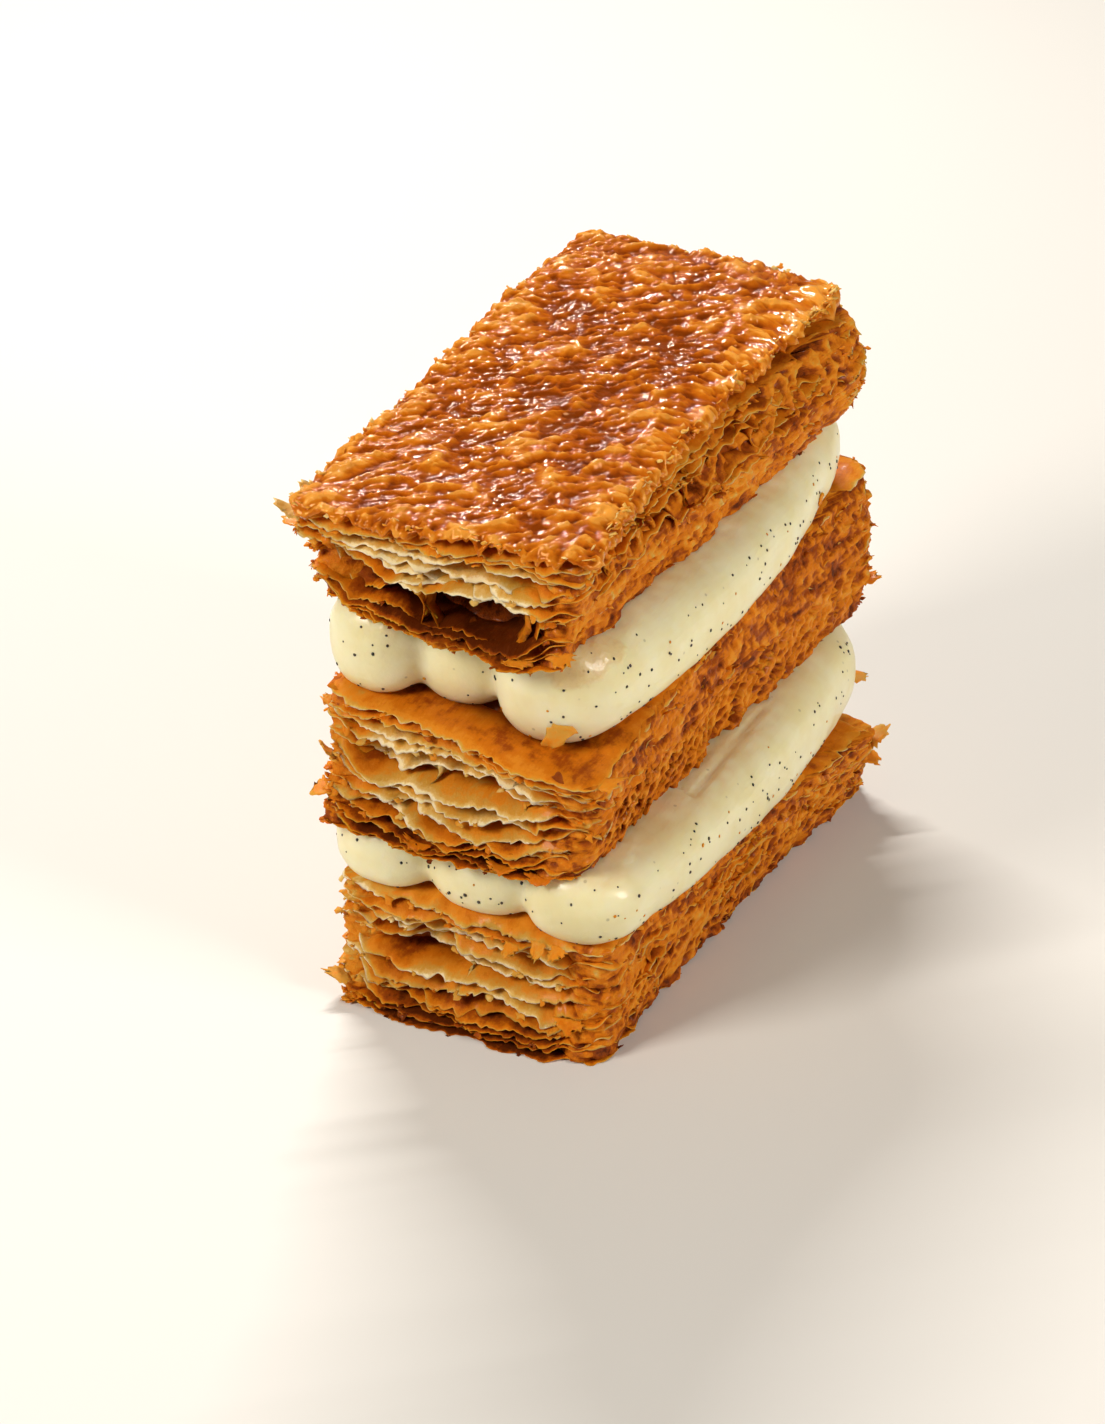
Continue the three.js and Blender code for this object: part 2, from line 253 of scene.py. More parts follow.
def scramble(grid, seed):
    """A repeatable random whole number for each point of a grid."""
    h = np.uint32(seed * 9781 + 77)
    for axis, prime in enumerate(AXIS_PRIMES):
        h = h ^ grid[..., axis].astype(np.int64).astype(np.uint32) * np.uint32(prime)
    for shift, factor in SHUFFLES:
        h = (h ^ (h >> np.uint32(shift))) * np.uint32(factor)
    return h ^ (h >> np.uint32(16))


def three_numbers(h):
    """Three random whole numbers from 0 to 1023, out of the bits of one."""
    return np.stack([h >> np.uint32(shift) & np.uint32(1023) for shift in (0, 10, 20)], -1)


print("three grid points get", scramble(np.eye(3), 0))


# %% Soft noise


def soft_noise(points, size, seed=0):
    """Smooth swellings about `size` mm apart, between about -1 and 1."""
    p = np.asarray(points, float) / size + 13.7
    base = np.floor(p)
    f = p - base
    w = f * f * f * (f * (f * 6 - 15) + 10)
    total = np.zeros(p.shape[:-1])
    for n in range(8):
        step = np.array([n & 1, n >> 1 & 1, n >> 2 & 1])
        slope = three_numbers(scramble(base + step, seed)) / 511.5 - 1
        share = np.prod(np.where(step, w, 1 - w), -1)
        total += share * np.sum(slope * (f - step), -1)
    return total * 1.7


def at(plan, level=0.0):
    """Plan points with a third number, so that every leaf reads its own slice of the noise."""
    third = np.broadcast_to(np.asarray(level, float)[..., None], plan.shape[:-1] + (1,))
    return np.concatenate([plan, third], -1)


probe = np.random.default_rng(1).uniform(-50, 50, (4000, 3))
heard = soft_noise(probe, 5)
print("soft noise runs from %.2f to %.2f" % (heard.min(), heard.max()))


# %% Bubbles and torn edges
def cells(points, size, seed=0):
    """Bubbles `size` mm wide: distance to the nearest centre and the next, and a random number."""
    p = np.asarray(points, float) / size + 5.3
    base = np.floor(p)
    near = np.full(p.shape[:-1], 9.0)
    second, name = near.copy(), np.zeros(p.shape[:-1])
    for n in range(27):
        step = np.array([n % 3 - 1, n // 3 % 3 - 1, n // 9 - 1])
        grid = base + step
        h = scramble(grid, seed)
        centre = grid + three_numbers(h) / 1023.0
        gap = np.linalg.norm(p - centre, axis=-1)
        closer = gap < near
        second = np.where(closer, near, np.minimum(second, gap))
        name = np.where(closer, (h >> np.uint32(5) & np.uint32(255)) / 255.0, name)
        near = np.minimum(near, gap)
    return near * size, second * size, name


def torn(walked, around, spacing, seed):
    """A zigzag line from -1 to 1 with a kink about every `spacing` mm, closed round the slab."""
    random = np.random.default_rng(seed)
    knots = np.cumsum(random.uniform(0.4, 1.6, int(around / spacing) + 2) * spacing)
    knots = knots[knots < around]
    return np.interp(walked, knots, random.uniform(-1, 1, len(knots)), period=around)


print("bubbles 5 mm wide: centres up to %.1f mm away" % cells(probe, 5)[0].max())

# %% [markdown]
# ## Browning, and painted shade
# Heat reaches the outside first. A cut face shows pale, buttery leaves in its middle, golden ones
# near the top and bottom, and brown ones right at the outside. Each vertex gets a number from 0
# (pale) to 1 (dark) for this browning, with painted shade added where it lies deep among the
# leaves, some at the foot of the front and in the crumb's pores, and painted light on each slab's
# top leaf; the materials turn it into colour.

# %% How brown a leaf is, and its painted shade
CUT_FACES = {
    # heights between which leaves are pale, how pale they get, where along the front they begin (at
    # the lowest and at the highest of them), how golden the left corner is, and how much darker the
    # floor is on the front: partly browning, partly painted shade at the slab's foot
    "pastry_bottom": dict(
        pale=(0.22, 0.92), paleness=0.38, start=(0.24, 0.16), golden=0.26, dark=0.3),
    "pastry_middle": dict(
        pale=(0.2, 0.95), paleness=0.42, start=(0.16, 0.1), golden=0.09, dark=0.22),
    "pastry_top": dict(
        pale=(0.38, 0.82), paleness=0.47, start=(0.42, 0.1), golden=0.09, dark=0.22),
}
# the depth number is painted shade: leaves are darkened where they lie deeper, under the others
OUTER_BAKE, DEPTH_SHADE = 0.62, 0.09  # bake number of a plain rim, and what each mm of depth adds


def browning_and_shade(name, stations, height, depth, plan, seed):
    """How brown points at a height (0-1) and depth (mm) are, with painted shade for depth and for
    the foot of the front.
    """
    face = CUT_FACES[name]
    low, high = face["pale"]
    middle = smooth_step((height - low) / 0.1) * smooth_step((high - height) / 0.1)
    begin = np.interp(height, (low, high), face["start"])
    cut = stations.on(FRONT, 7.0) * middle * smooth_step((stations.along - begin) / 0.12 + 0.5)
    # painted shade: points that lie deep in the slab are darkened, a little more in the pale middle
    # of the cut face
    bake_and_shade = OUTER_BAKE - face["paleness"] * cut + (DEPTH_SHADE + 0.02 * cut) * np.minimum(depth, 3.0)
    left_corner = np.exp(-(stations.distance_from(FRONT, 0.02) / 5) ** 2)
    bake_and_shade = bake_and_shade + 0.05 * stations.on(RIGHT, 6.0) - face["golden"] * left_corner
    # darker towards the floor: browning of the base, and on the front also painted shade at the
    # slab's foot
    floor_brown_and_shade = 0.16 + face["dark"] * stations.on(FRONT, 5.0)
    blotches = 0.13 * soft_noise(at(plan, height * 30), 6, seed)
    bake_and_shade = bake_and_shade + floor_brown_and_shade * smooth_step((0.24 - height) / 0.2) + blotches
    return np.clip(bake_and_shade + 0.08 * soft_noise(at(plan, height * 60), 1.7, seed + 1), 0.02, 1.0)


print("pale band of the middle slab:", CUT_FACES["pastry_middle"]["pale"])

# %% [markdown]
# ## From arrays to a Blender mesh
# The shapes are worked out as whole arrays of points in millimetres, which is much faster than a
# loop over vertices. One function turns such arrays into a mesh object, and another says where
# the piece belongs.

# %% Making and placing a piece
PRESSED = 0.02  # what is left of the depth of a point that would hang below the table


def triangles(mesh):
    """How many triangles the faces of a mesh are worth."""
    return sum(len(face.vertices) - 2 for face in mesh.polygons)


def set_numbers(mesh, mark, values):
    """Writes one number per point under the name `mark`, for the materials to read."""
    layer = mesh.attributes.new(mark, "FLOAT", "POINT")
    layer.data.foreach_set("value", np.asarray(values, np.float32).ravel())


def make_piece(name, points, faces, marks=None):
    """A mesh object from points (mm) and faces, with one number per point for each of `marks`."""
    placed = points + SHIFT
    placed[:, 2] = np.where(placed[:, 2] < 0, PRESSED * placed[:, 2], placed[:, 2])
    mesh = bpy.data.meshes.new(name)
    mesh.vertices.add(len(points))
    mesh.vertices.foreach_set("co", (placed * MM).astype(np.float32).ravel())
    mesh.loops.add(faces.size)
    mesh.loops.foreach_set("vertex_index", faces.astype(np.int32).ravel())
    mesh.polygons.add(len(faces))
    starts = np.arange(0, faces.size, faces.shape[1], dtype=np.int32)
    mesh.polygons.foreach_set("loop_start", starts)
    mesh.polygons.foreach_set("use_smooth", np.ones(len(faces), bool))
    mesh.update(calc_edges=True)
    for mark, values in (marks or {}).items():
        set_numbers(mesh, mark, values)
    piece = bpy.data.objects.new(name, mesh)
    bpy.context.scene.collection.objects.link(piece)
    print("%-22s %7d triangles" % (name, triangles(mesh)))
    return piece


def serve(piece, material, node=None):
    """Puts a piece on the slice: its material, and the solid that it replaces."""
    piece.data.materials.append(material)
    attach(piece, "root")
    if node:
        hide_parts(node)


print("pieces are made in mm, and 1 mm is", MM, "in Blender")


# %% Faces of grids
def sleeve(rows, columns, first=0, wrap_rows=True):
    """Faces of a grid that closes round the slab and, if asked, from its last row to its first."""
    bands = rows if wrap_rows else rows - 1
    j, i = np.meshgrid(np.arange(bands), np.arange(columns), indexing="ij")
    up, ahead = (j + 1) % rows, (i + 1) % columns
    quads = [j * columns + i, j * columns + ahead, up * columns + ahead, up * columns + i]
    return np.stack(quads, -1).reshape(-1, 4) + first


def sheet_faces(grid):
    """Faces of an open grid, given the numbers of its points, shaped (rows, columns)."""
    quads = [grid[:-1, :-1], grid[:-1, 1:], grid[1:, 1:], grid[1:, :-1]]
    return np.stack(quads, -1).reshape(-1, 4)


def fan(first, second, centre):
    """Triangles from a closed ring, given as pairs of neighbours, to one centre point."""
    return np.stack([first, second, np.full_like(first, centre)], -1)


print("a sleeve of 3 rows and 4 columns has", len(sleeve(3, 4)), "faces")


# %% [markdown]
# ## Baking the leaves
# A leaf is built as a closed band: from its rim it runs a few millimetres into the slab over its
# top, and back under itself. Each leaf wanders up and down on its own, but it can't pass through
# its neighbours, so where two meet they stay fused, and lens-shaped pockets open between those
# places. A *hollow* is a spot where steam blew one pocket up into a cave.

# %% Hollows between the leaves
# side, place along it, height of the middle, reach along the side (mm), opening (mm)
HOLLOWS = {
    "pastry_bottom": [
        (FRONT, 0.34, 0.51, 6.0, 3.8), (FRONT, 0.8, 0.76, 5.0, 2.4), (FRONT, 0.16, 0.66, 3.0, 1.4),
        (FRONT, 0.62, 0.66, 3.0, 1.4), (FRONT, 0.56, 0.27, 6.0, 1.8), (FRONT, 0.88, 0.38, 3.0, 1.6),
        (RIGHT, 0.12, 0.6, 4.0, 1.6), (RIGHT, 0.5, 0.55, 7.0, 1.4),
        (LEFT, 0.7, 0.5, 8.0, 2.0), (BACK, 0.4, 0.5, 7.0, 2.5)],
    "pastry_middle": [
        (FRONT, 0.6, 0.61, 8.0, 4.2), (FRONT, 0.22, 0.61, 4.5, 1.6), (FRONT, 0.74, 0.38, 4.0, 2.4),
        (FRONT, 0.48, 0.28, 3.4, 1.8), (FRONT, 0.95, 0.46, 3.0, 1.8), (FRONT, 0.34, 0.13, 5.0, 1.8),
        (FRONT, 0.75, 0.09, 3.0, 1.4), (RIGHT, 0.45, 0.35, 9.0, 1.6),
        (LEFT, 0.6, 0.55, 9.0, 2.2), (LEFT, 0.95, 0.62, 3.0, 2.6), (BACK, 0.6, 0.5, 7.0, 2.5)],
    "pastry_top": [
        (FRONT, 0.72, 0.29, 8.5, 7.2), (FRONT, 0.42, 0.28, 4.5, 5.0), (FRONT, 0.12, 0.44, 6.0, 5.4),
        (FRONT, 0.88, 0.06, 2.4, 1.4), (FRONT, 0.32, 0.12, 2.6, 1.2), (FRONT, 0.02, 0.74, 2.6, 3.0),
        (LEFT, 0.985, 0.7, 2.5, 3.4), (RIGHT, 0.2, 0.7, 9.0, 3.6), (RIGHT, 0.42, 0.68, 9.0, 3.8),
        (RIGHT, 0.62, 0.66, 8.0, 3.0), (LEFT, 0.5, 0.5, 9.0, 2.4), (BACK, 0.5, 0.45, 7.0, 2.5)],
}
print("hollows:", {name: len(found) for name, found in HOLLOWS.items()})

# %% Heights of the leaves
# the share of a slab's height that its leaves fill
LEAF_SPAN = {"pastry_bottom": (0.015, 0.985), "pastry_middle": (0.015, 0.985),
             "pastry_top": (0.015, 0.85)}
FUSED = 0.011  # least distance between two leaves, as a share of the slab's height
# heights of the leaves on the cut face, from tight brown ones at the floor to loose pale ones
LEAF_LEVELS = {
    "pastry_bottom": [0, 0.05, 0.1, 0.17, 0.26, 0.35, 0.44, 0.6, 0.72, 0.82, 0.91, 1],
    "pastry_middle": [0, 0.05, 0.1, 0.16, 0.24, 0.33, 0.43, 0.52, 0.7, 0.8, 0.88, 0.95, 1],
    "pastry_top": [0, 0.04, 0.08, 0.13, 0.19, 0.41, 0.52, 0.64, 0.76, 0.87, 0.95, 1],
}


def leaf_heights(name, stations, plan, leaves, seed):
    """Height from 0 to 1 of each leaf over each place, shaped (leaves, rows, stations)."""
    low, high = LEAF_SPAN[name]
    thickness = SLABS[name]["lid"][0][2] - SLABS[name]["floor"][0][2]
    front = stations.on(FRONT, 6.0)
    at_front, even = np.array(LEAF_LEVELS[name])[:, None], np.linspace(0, 1, leaves)[:, None]
    levels = at_front * front + even * (1 - front)
    spacing = np.gradient(levels, axis=0)
    stack = []
    for k, own in enumerate(levels):
        where = at(plan, k * 9.0)
        calm = 0.9 * soft_noise(where, 15, seed) + 0.4 * soft_noise(where, 6, seed + 1)
        busy = 0.5 * soft_noise(where, 8, seed + 2) + 0.8 * soft_noise(where, 3.6, seed + 3)
        ends = np.minimum(1, np.minimum(6 * own, 6 - 6 * own) + 0.3)
        wander = front * 0.95 * spacing[k] * calm + (1 - front) * 1.35 / leaves * busy
        height = own + ends * wander
        for side, along, middle, reach, opening in HOLLOWS[name]:
            off = stations.distance_from(side, along) / reach
            push = 0.5 * opening / thickness * np.exp(-off ** 2 - np.abs(own - middle) / 0.22)
            height = height + np.sign(own - middle) * push
        stack.append(height)
    steps = FUSED * np.arange(leaves)[:, None, None]
    stack = np.array(stack)
    rising = np.maximum.accumulate(stack - steps, axis=0)
    falling = np.minimum.accumulate((stack - steps)[::-1], axis=0)[::-1]
    stack = (rising + falling) / 2 + steps
    return low + (high - low) * np.clip(stack, -0.01, 1.02)


print("leaves at the cut face:", {name: len(levels) for name, levels in LEAF_LEVELS.items()})

# %% [markdown]
# ## Rims
# Where a leaf ends, it is torn, not cut: zigzag teeth a millimetre or two wide with finer ones on
# them, here and there a whole bite broken away, and long leaves that droop under their own weight.
# `reach` says how far the rims stand out at each height of the cut face.

# %% Rims of the cut face
# (height, mm) pairs: how far the rims stand out on the cut face, and how far they hang down there
FRONT_REACH = {
    "pastry_bottom": [(0, 0.9), (0.15, 0.8), (0.3, 0.3), (0.44, 0.7),
                      (0.6, -0.3), (0.72, 0.1), (0.9, 0.3), (1, 0.3)],
    "pastry_middle": [(0, 0.9), (0.15, 0.6), (0.3, 0.2), (0.43, 0.5), (0.52, 0.9),
                      (0.7, -0.4), (0.8, 0.1), (0.93, 0.3), (1, 0.5)],
    "pastry_top": [(0, 1.3), (0.13, 1.3), (0.3, -1.0), (0.42, 1.5),
                   (0.6, 1.3), (0.78, 0.4), (1, 0.5)],
}
FRONT_DROOP = {
    "pastry_bottom": [(0, 0.0), (0.12, 0.3), (0.24, 1.1), (0.44, 1.2),
                      (0.6, 0.9), (0.72, 1.4), (0.92, 1.3), (1, 1.5)],
    "pastry_middle": [(0, 0.0), (0.12, 0.3), (0.24, 1.1), (0.52, 1.3),
                      (0.7, 0.8), (0.8, 1.3), (0.93, 0.9), (1, 0.5)],
    "pastry_top": [(0, 0.9), (0.12, 0.7), (0.3, 0.2), (0.42, 0.7), (0.7, 1.5), (1, 0.9)],
}
furthest = max(mm for pairs in FRONT_REACH.values() for _, mm in pairs)
print("rims of the cut face stand out by up to %.1f mm, before they are torn" % furthest)

# %% Bites and torn sides
# listed bites: side, place along it, reach (mm), heights of the leaves that are bitten, depth (mm)
BITTEN = {
    "pastry_bottom": [(FRONT, 0.34, 4.5, 0.5, 0.65, 0.9), (FRONT, 0.8, 4.0, 0.8, 0.86, 0.8),
                      (RIGHT, 0.52, 36, 0.1, 0.7, 0.5)],
    "pastry_middle": [(FRONT, 0.6, 6.0, 0.65, 0.75, 0.9), (FRONT, 0.2, 3.0, 0.65, 0.75, 0.7),
                      (FRONT, 0.74, 3.5, 0.4, 0.45, 1.0), (RIGHT, 0.52, 36, -0.1, 0.46, 3.2),
                      (RIGHT, 0.52, 36, 0.46, 0.9, 0.35)],
    "pastry_top": [(FRONT, 0.1, 6.0, 0.36, 0.64, 3.4), (FRONT, 0.74, 7.0, 0.15, 0.2, 0.8),
                   (RIGHT, 0.52, 36, 0.0, 0.42, 0.5)],
}
WIDE_BITES, ALL_BITES = 5, 15  # random bites on each leaf
# how far rims stand out on the right, back and left, where a knife or a tin pressed them flat
SIDE_REACH = {RIGHT: -0.25, BACK: 0.25, LEFT: 0.2}


def side_tears(name, stations, height):
    """How far the right side is torn back at each station, in mm, most of all at its foot."""
    seed, walked, around = 70 + list(SLABS).index(name), stations.walked, stations.around
    scallops = 0.9 * torn(walked, around, 3.8, seed) + 0.45 * torn(walked, around, 1.5, seed + 9)
    return stations.on(RIGHT, 5.0) * smooth_step((0.42 - height) / 0.42) * (0.2 + scallops)


print("bites by hand:", {name: len(bites) for name, bites in BITTEN.items()})


# %% Teeth of one leaf
def on_tape(stations, leaf, step):
    """Places on a tape round the slab, with one lane per leaf `step` mm from the next."""
    lane = np.full(stations.count, leaf * step)
    return np.stack([stations.walked, lane, np.zeros(stations.count)], -1)


def rim_teeth(stations, leaf, seed):
    """The fine zigzag of one leaf's rim at each station, in mm."""
    s, around, front = stations.walked, stations.around, stations.on(FRONT, 4.0)
    coarse = torn(s, around, 1.7, seed + 7 * leaf)
    fine = torn(s, around, 0.8, seed + 7 * leaf + 3)
    finest = torn(s, around, 0.45, seed + 7 * leaf + 5)
    return (0.2 + 0.2 * front) * coarse + (0.2 + 0.12 * front) * fine + 0.2 * front * finest


tried = Stations(SLABS["pastry_middle"], LEAF_SPACING)
print("teeth of one leaf are up to %.1f mm long" % np.ptp(rim_teeth(tried, 6, 1)))


# %% Reach and droop of one leaf
def rim_reach(name, stations, nominal, leaf, seed):
    """How far one leaf's rim stands out of the slab's edge at each station, in mm."""
    s, around = stations.walked, stations.around
    front = stations.on(FRONT, 4.0)
    loose = 0.5 + 0.5 * front
    tape = on_tape(stations, leaf, 5.0)
    reach = loose * (0.9 * soft_noise(tape, 11, seed) + 0.7 * soft_noise(tape, 3.6, seed + 1))
    heights, mm = zip(*FRONT_REACH[name])
    reach += front * np.interp(nominal, heights, mm)
    for side, offset in SIDE_REACH.items():
        reach += offset * stations.on(side, 4.0)
    reach -= side_tears(name, stations, nominal)
    for side, along, width, low, high, deep in BITTEN[name]:
        if low <= nominal <= high:
            reach -= deep * np.exp(-(stations.distance_from(side, along) / width) ** 4)
    bites = np.random.default_rng(seed + 31 * leaf)
    for n in range(ALL_BITES):
        widths, depths = ((2.5, 5.5), (0.8, 2.4)) if n < WIDE_BITES else ((0.6, 1.8), (0.4, 1.2))
        centre, width = bites.uniform(0, around), bites.uniform(*widths)
        deep = bites.uniform(*depths)
        gap = np.abs(s - centre)
        bite = smooth_step((width - np.minimum(gap, around - gap)) / (0.6 + 1.2 * front))
        reach -= deep * (0.5 + 0.1 * front) * bite
    return np.clip(reach, -4.0, 3.0)


def rim_droop(name, stations, nominal, leaf, seed):
    """How far one leaf's rim hangs down at each station, in mm."""
    front = stations.on(FRONT, 4.0)
    heights, mm = zip(*FRONT_DROOP[name])
    swing = 1 + 0.6 * soft_noise(on_tape(stations, leaf, 3.0), 9, seed)
    folds = 0.16 * soft_noise(on_tape(stations, leaf, 6.0), 4.5, seed + 1)
    at_sides = (1 - front) * 0.5 * swing * min(1, nominal / 0.15)
    return front * np.interp(nominal, heights, mm) * (swing + folds) + at_sides


stands_out = rim_reach("pastry_middle", tried, 0.5, 6, 1)
print("one leaf stands out by %.1f to %.1f mm" % (stands_out.min(), stands_out.max()))

# %% How thick a leaf is, and how deep it goes
# how deep in the slab the points of a leaf lie (mm), first over its top and then under it
TOP_DEPTHS = np.array([0.0, 0.16, 0.55, 1.2, 2.0, 3.2, 4.8, 8.5])
UNDER_DEPTHS = np.array([8.5, 0.6])
LEAF_THICKNESS = (0, 0.2, 0.8), (0.02, 0.05, 0.11)  # depths, and half of the thickness there (mm)
LID_BUBBLES = {"pastry_bottom": 0.8, "pastry_middle": 0.2, "pastry_top": 0.0}  # mm
print("a leaf is %.2f mm thick a little inside its rim" % (2 * LEAF_THICKNESS[1][-1]))


# %% One slab's stack of leaves
def bake_leaves(name, seed):
    """Points, faces and marks of all leaves of a slab, and the stations that they stand on."""
    slab, levels = SLABS[name], LEAF_LEVELS[name]
    leaves = len(levels)
    stations = Stations(slab, LEAF_SPACING)
    depths = np.concatenate([TOP_DEPTHS, UNDER_DEPTHS])
    skin = np.interp(depths, *LEAF_THICKNESS)
    skin[len(TOP_DEPTHS):] *= -1
    rough = stations.outline(slab, np.full(stations.count, 0.5))
    plan = inward(rough[None], depths[:, None], slab)
    heights = leaf_heights(name, stations, plan, leaves, seed)
    points, faces, marks = [], [], {"bake_and_shade": [], "rim": []}
    front = stations.on(FRONT, 4.0)
    for k in range(leaves):
        nominal, h = levels[k], heights[k]
        teeth = rim_teeth(stations, k, seed + 510)
        reach = rim_reach(name, stations, nominal, k, seed + 500)
        stand = reach * (1 - smooth_step(depths / 5))[:, None]
        stand = stand + teeth * np.exp(-depths / 0.45)[:, None]
        edge = stations.outline(slab, h) + stations.out * stand[..., None]
        xy = inward(edge, np.broadcast_to(depths[:, None], h.shape), slab)
        floor, lid = (face_height(slab, face, xy[..., 0], xy[..., 1]) for face in ("floor", "lid"))
        z = floor + (lid - floor) * h
        z += (0.16 - 0.1 * front) * soft_noise(at(xy, k * 5.0), 2.6, seed + 40)
        z += 0.03 * soft_noise(at(xy, k * 5.0), 1.0, seed + 41)
        rim_only = np.exp(-depths / 0.6)[:, None]
        frill = soft_noise(on_tape(stations, k, 7.0), 1.3, seed + 42)
        z += (0.15 - 0.08 * front) * frill * rim_only
        z -= min(1, nominal / 0.1) * 0.5 * front * teeth * rim_only
        droop = rim_droop(name, stations, nominal, k, seed + 50)
        z -= droop * (1 - np.clip(depths / 3.4, 0, 1))[:, None] ** 2
        if k == leaves - 1:
            swollen = np.clip(soft_noise(at(xy), 2.6, seed + 44) + 0.15, 0, 1)
            z += LID_BUBBLES[name] * front * smooth_step(depths / 0.8)[:, None] * swollen
        z += skin[:, None]
        faces.append(sleeve(len(depths), stations.count, k * h.size))
        points.append(np.concatenate([xy, z[..., None]], -1))
        bake_and_shade = browning_and_shade(name, stations, h, depths[:, None], xy, seed + 60)
        bake_and_shade = bake_and_shade + 0.12 * (np.random.default_rng(seed + k).uniform() - 0.5)
        # painted light: the top leaf is lightened, most away from its rim, against the shade of
        # what lies on it
        if k == leaves - 1:
            bake_and_shade = bake_and_shade - 0.1 - 0.1 * np.clip(depths / 2, 0, 1)[:, None]
        marks["bake_and_shade"].append(bake_and_shade.ravel())
        # nearness to the rim, which gets a painted glow as if lit through
        marks["rim"].append(np.broadcast_to(np.exp(-depths / 0.3)[:, None], h.shape).ravel())
    marks = {mark: np.concatenate(values) for mark, values in marks.items()}
    return np.array(points), np.concatenate(faces), marks, stations


leaf_stacks = {name: bake_leaves(name, 100 + 1000 * n) for n, name in enumerate(SLABS)}
print("leaves:", {name: len(stack[0]) for name, stack in leaf_stacks.items()})

# %% [markdown]
# ## Strands
# Where two leaves stuck together before the steam pushed them apart, a thin wall of dough still
# joins them. These little walls turn the gaps into cells. Each starts on one leaf and ends on the
# next, point for point, so it never hangs in the air.

# %% Where walls stand between two leaves
STRANDS = {"pastry_bottom": 140, "pastry_middle": 160, "pastry_top": 240}
# side, place along it, the leaf it hangs down to, and how far it bulges (mm)
CURTAINS = {"pastry_bottom": [(FRONT, 0.5, 6, 0.8)],
            "pastry_middle": [(FRONT, 0.4, 7, 0.9), (FRONT, 0.86, 7, -0.6)],
            "pastry_top": [(FRONT, 0.5, 4, -1.5), (FRONT, 0.43, 4, 0.9)]}
WIDEST_GAP = 5.5  # mm
# the narrowest gap that gets a wall (mm), and how many of the walls tried there are kept
GAPS = {FRONT: (1.9, 0.05), RIGHT: (0.8, 1.0), BACK: (0.8, 0.6), LEFT: (0.8, 0.6)}
WALL_ROWS = np.array([1, 3, 4, 5])  # the rows of a leaf, from rim to inside, that a wall stands on
WALL_SKIN = 0.06  # half of a wall's thickness (mm)
print("strands:", STRANDS)


# %% Faces of a wall
def wall_faces(levels, around):
    """Faces of a flat tube of `levels` rings with `around` points each, closed at both ends."""
    half = around // 2
    caps = np.array([[j, j + 1, around - 2 - j, around - 1 - j] for j in range(half - 1)])
    tube = sleeve(levels, around, wrap_rows=False)
    return np.concatenate([tube, caps[:, ::-1], caps + around * (levels - 1)])


print("a wall has", len(wall_faces(5, 2 * len(WALL_ROWS))), "faces")


# %% Thin walls between two leaves
def strands(name, seed):
    """Points, faces and bake numbers of the walls, each a flat tube of two skins."""
    grid, _, _, stations = leaf_stacks[name]
    random = np.random.default_rng(seed)
    rows, levels = WALL_ROWS, np.linspace(0, 1, 5)
    inner = np.array([0, 1, 1, 1])[None]
    around = 2 * len(rows)
    shell = wall_faces(len(levels), around)
    face = CUT_FACES[name]
    low_pale, high_pale = face["pale"]
    points, faces, bakes = [], [], []
    while len(points) < STRANDS[name]:
        k, i, by_hand = random.integers(0, len(grid) - 1), random.integers(0, stations.count), None
        if len(points) < len(CURTAINS[name]):
            side, along, k, by_hand = CURTAINS[name][len(points)]
            i = np.argmin(stations.distance_from(side, along))
        gap = grid[k + 1, 2, i, 2] - grid[k, 2, i, 2]
        least, keep = GAPS[stations.side[i]]
        if by_hand is None and (not least < gap < WIDEST_GAP or random.uniform() > keep):
            continue
        walk = i + np.cumsum(random.integers(-2, 3, len(rows)))
        low = grid[k, rows, walk % stations.count]
        walk = walk + random.integers(-3, 4)
        high = grid[k + 1, rows, walk % stations.count] - [0, 0, 0.15]
        tangent = np.array([-stations.out[i][1], stations.out[i][0], 0.0])
        bulge = random.uniform(-0.25, 0.25) * gap if by_hand is None else by_hand
        bulge = bulge * np.sin(np.pi * levels)
        sheet = low[None] * (1 - levels)[:, None, None] + high[None] * levels[:, None, None]
        creases = 0.1 * random.normal(size=sheet.shape[:2] + (1,))
        sheet = sheet + bulge[:, None, None] * tangent + creases * tangent
        arch = random.uniform(0.4, 1.6) * np.sin(np.pi * levels)[:, None] * (1 - inner)
        sheet = sheet - arch[..., None] * np.append(stations.out[i], 0)
        skin = WALL_SKIN * tangent
        ring = np.concatenate([sheet + skin, (sheet - skin)[:, ::-1]], 1)
        faces.append(shell + len(points) * ring.shape[0] * around)
        points.append(ring.reshape(-1, 3))
        height = np.full(ring.shape[:2], k / (len(grid) - 1)) + levels[:, None] / len(grid)
        front = stations.on(FRONT, 7.0)[i]
        pale = front * smooth_step((height - low_pale) / 0.12)
        pale = pale * smooth_step((high_pale - height) / 0.1)
        bakes.append((0.6 - face["paleness"] * pale + random.uniform(-0.08, 0.12)).ravel())
    return np.concatenate(points), np.concatenate(faces), np.concatenate(bakes)


strand_walls = {name: strands(name, 700 + 1000 * n) for n, name in enumerate(SLABS)}
print("points of the strands:", {name: len(walls[0]) for name, walls in strand_walls.items()})

# %% [markdown]
# ## The crumb behind the leaves
# Behind the rims, the leaves are fused into a crumb full of bubbles. It closes the slab, so that
# no one can look right through it. On a side that was pressed or cut with a knife, this crumb is
# what shows: ridges where leaves lie tight, and a honeycomb of pores where steam got out. Its
# colour carries painted shade, darker in the pores and hollows, and a painted highlight on crests.

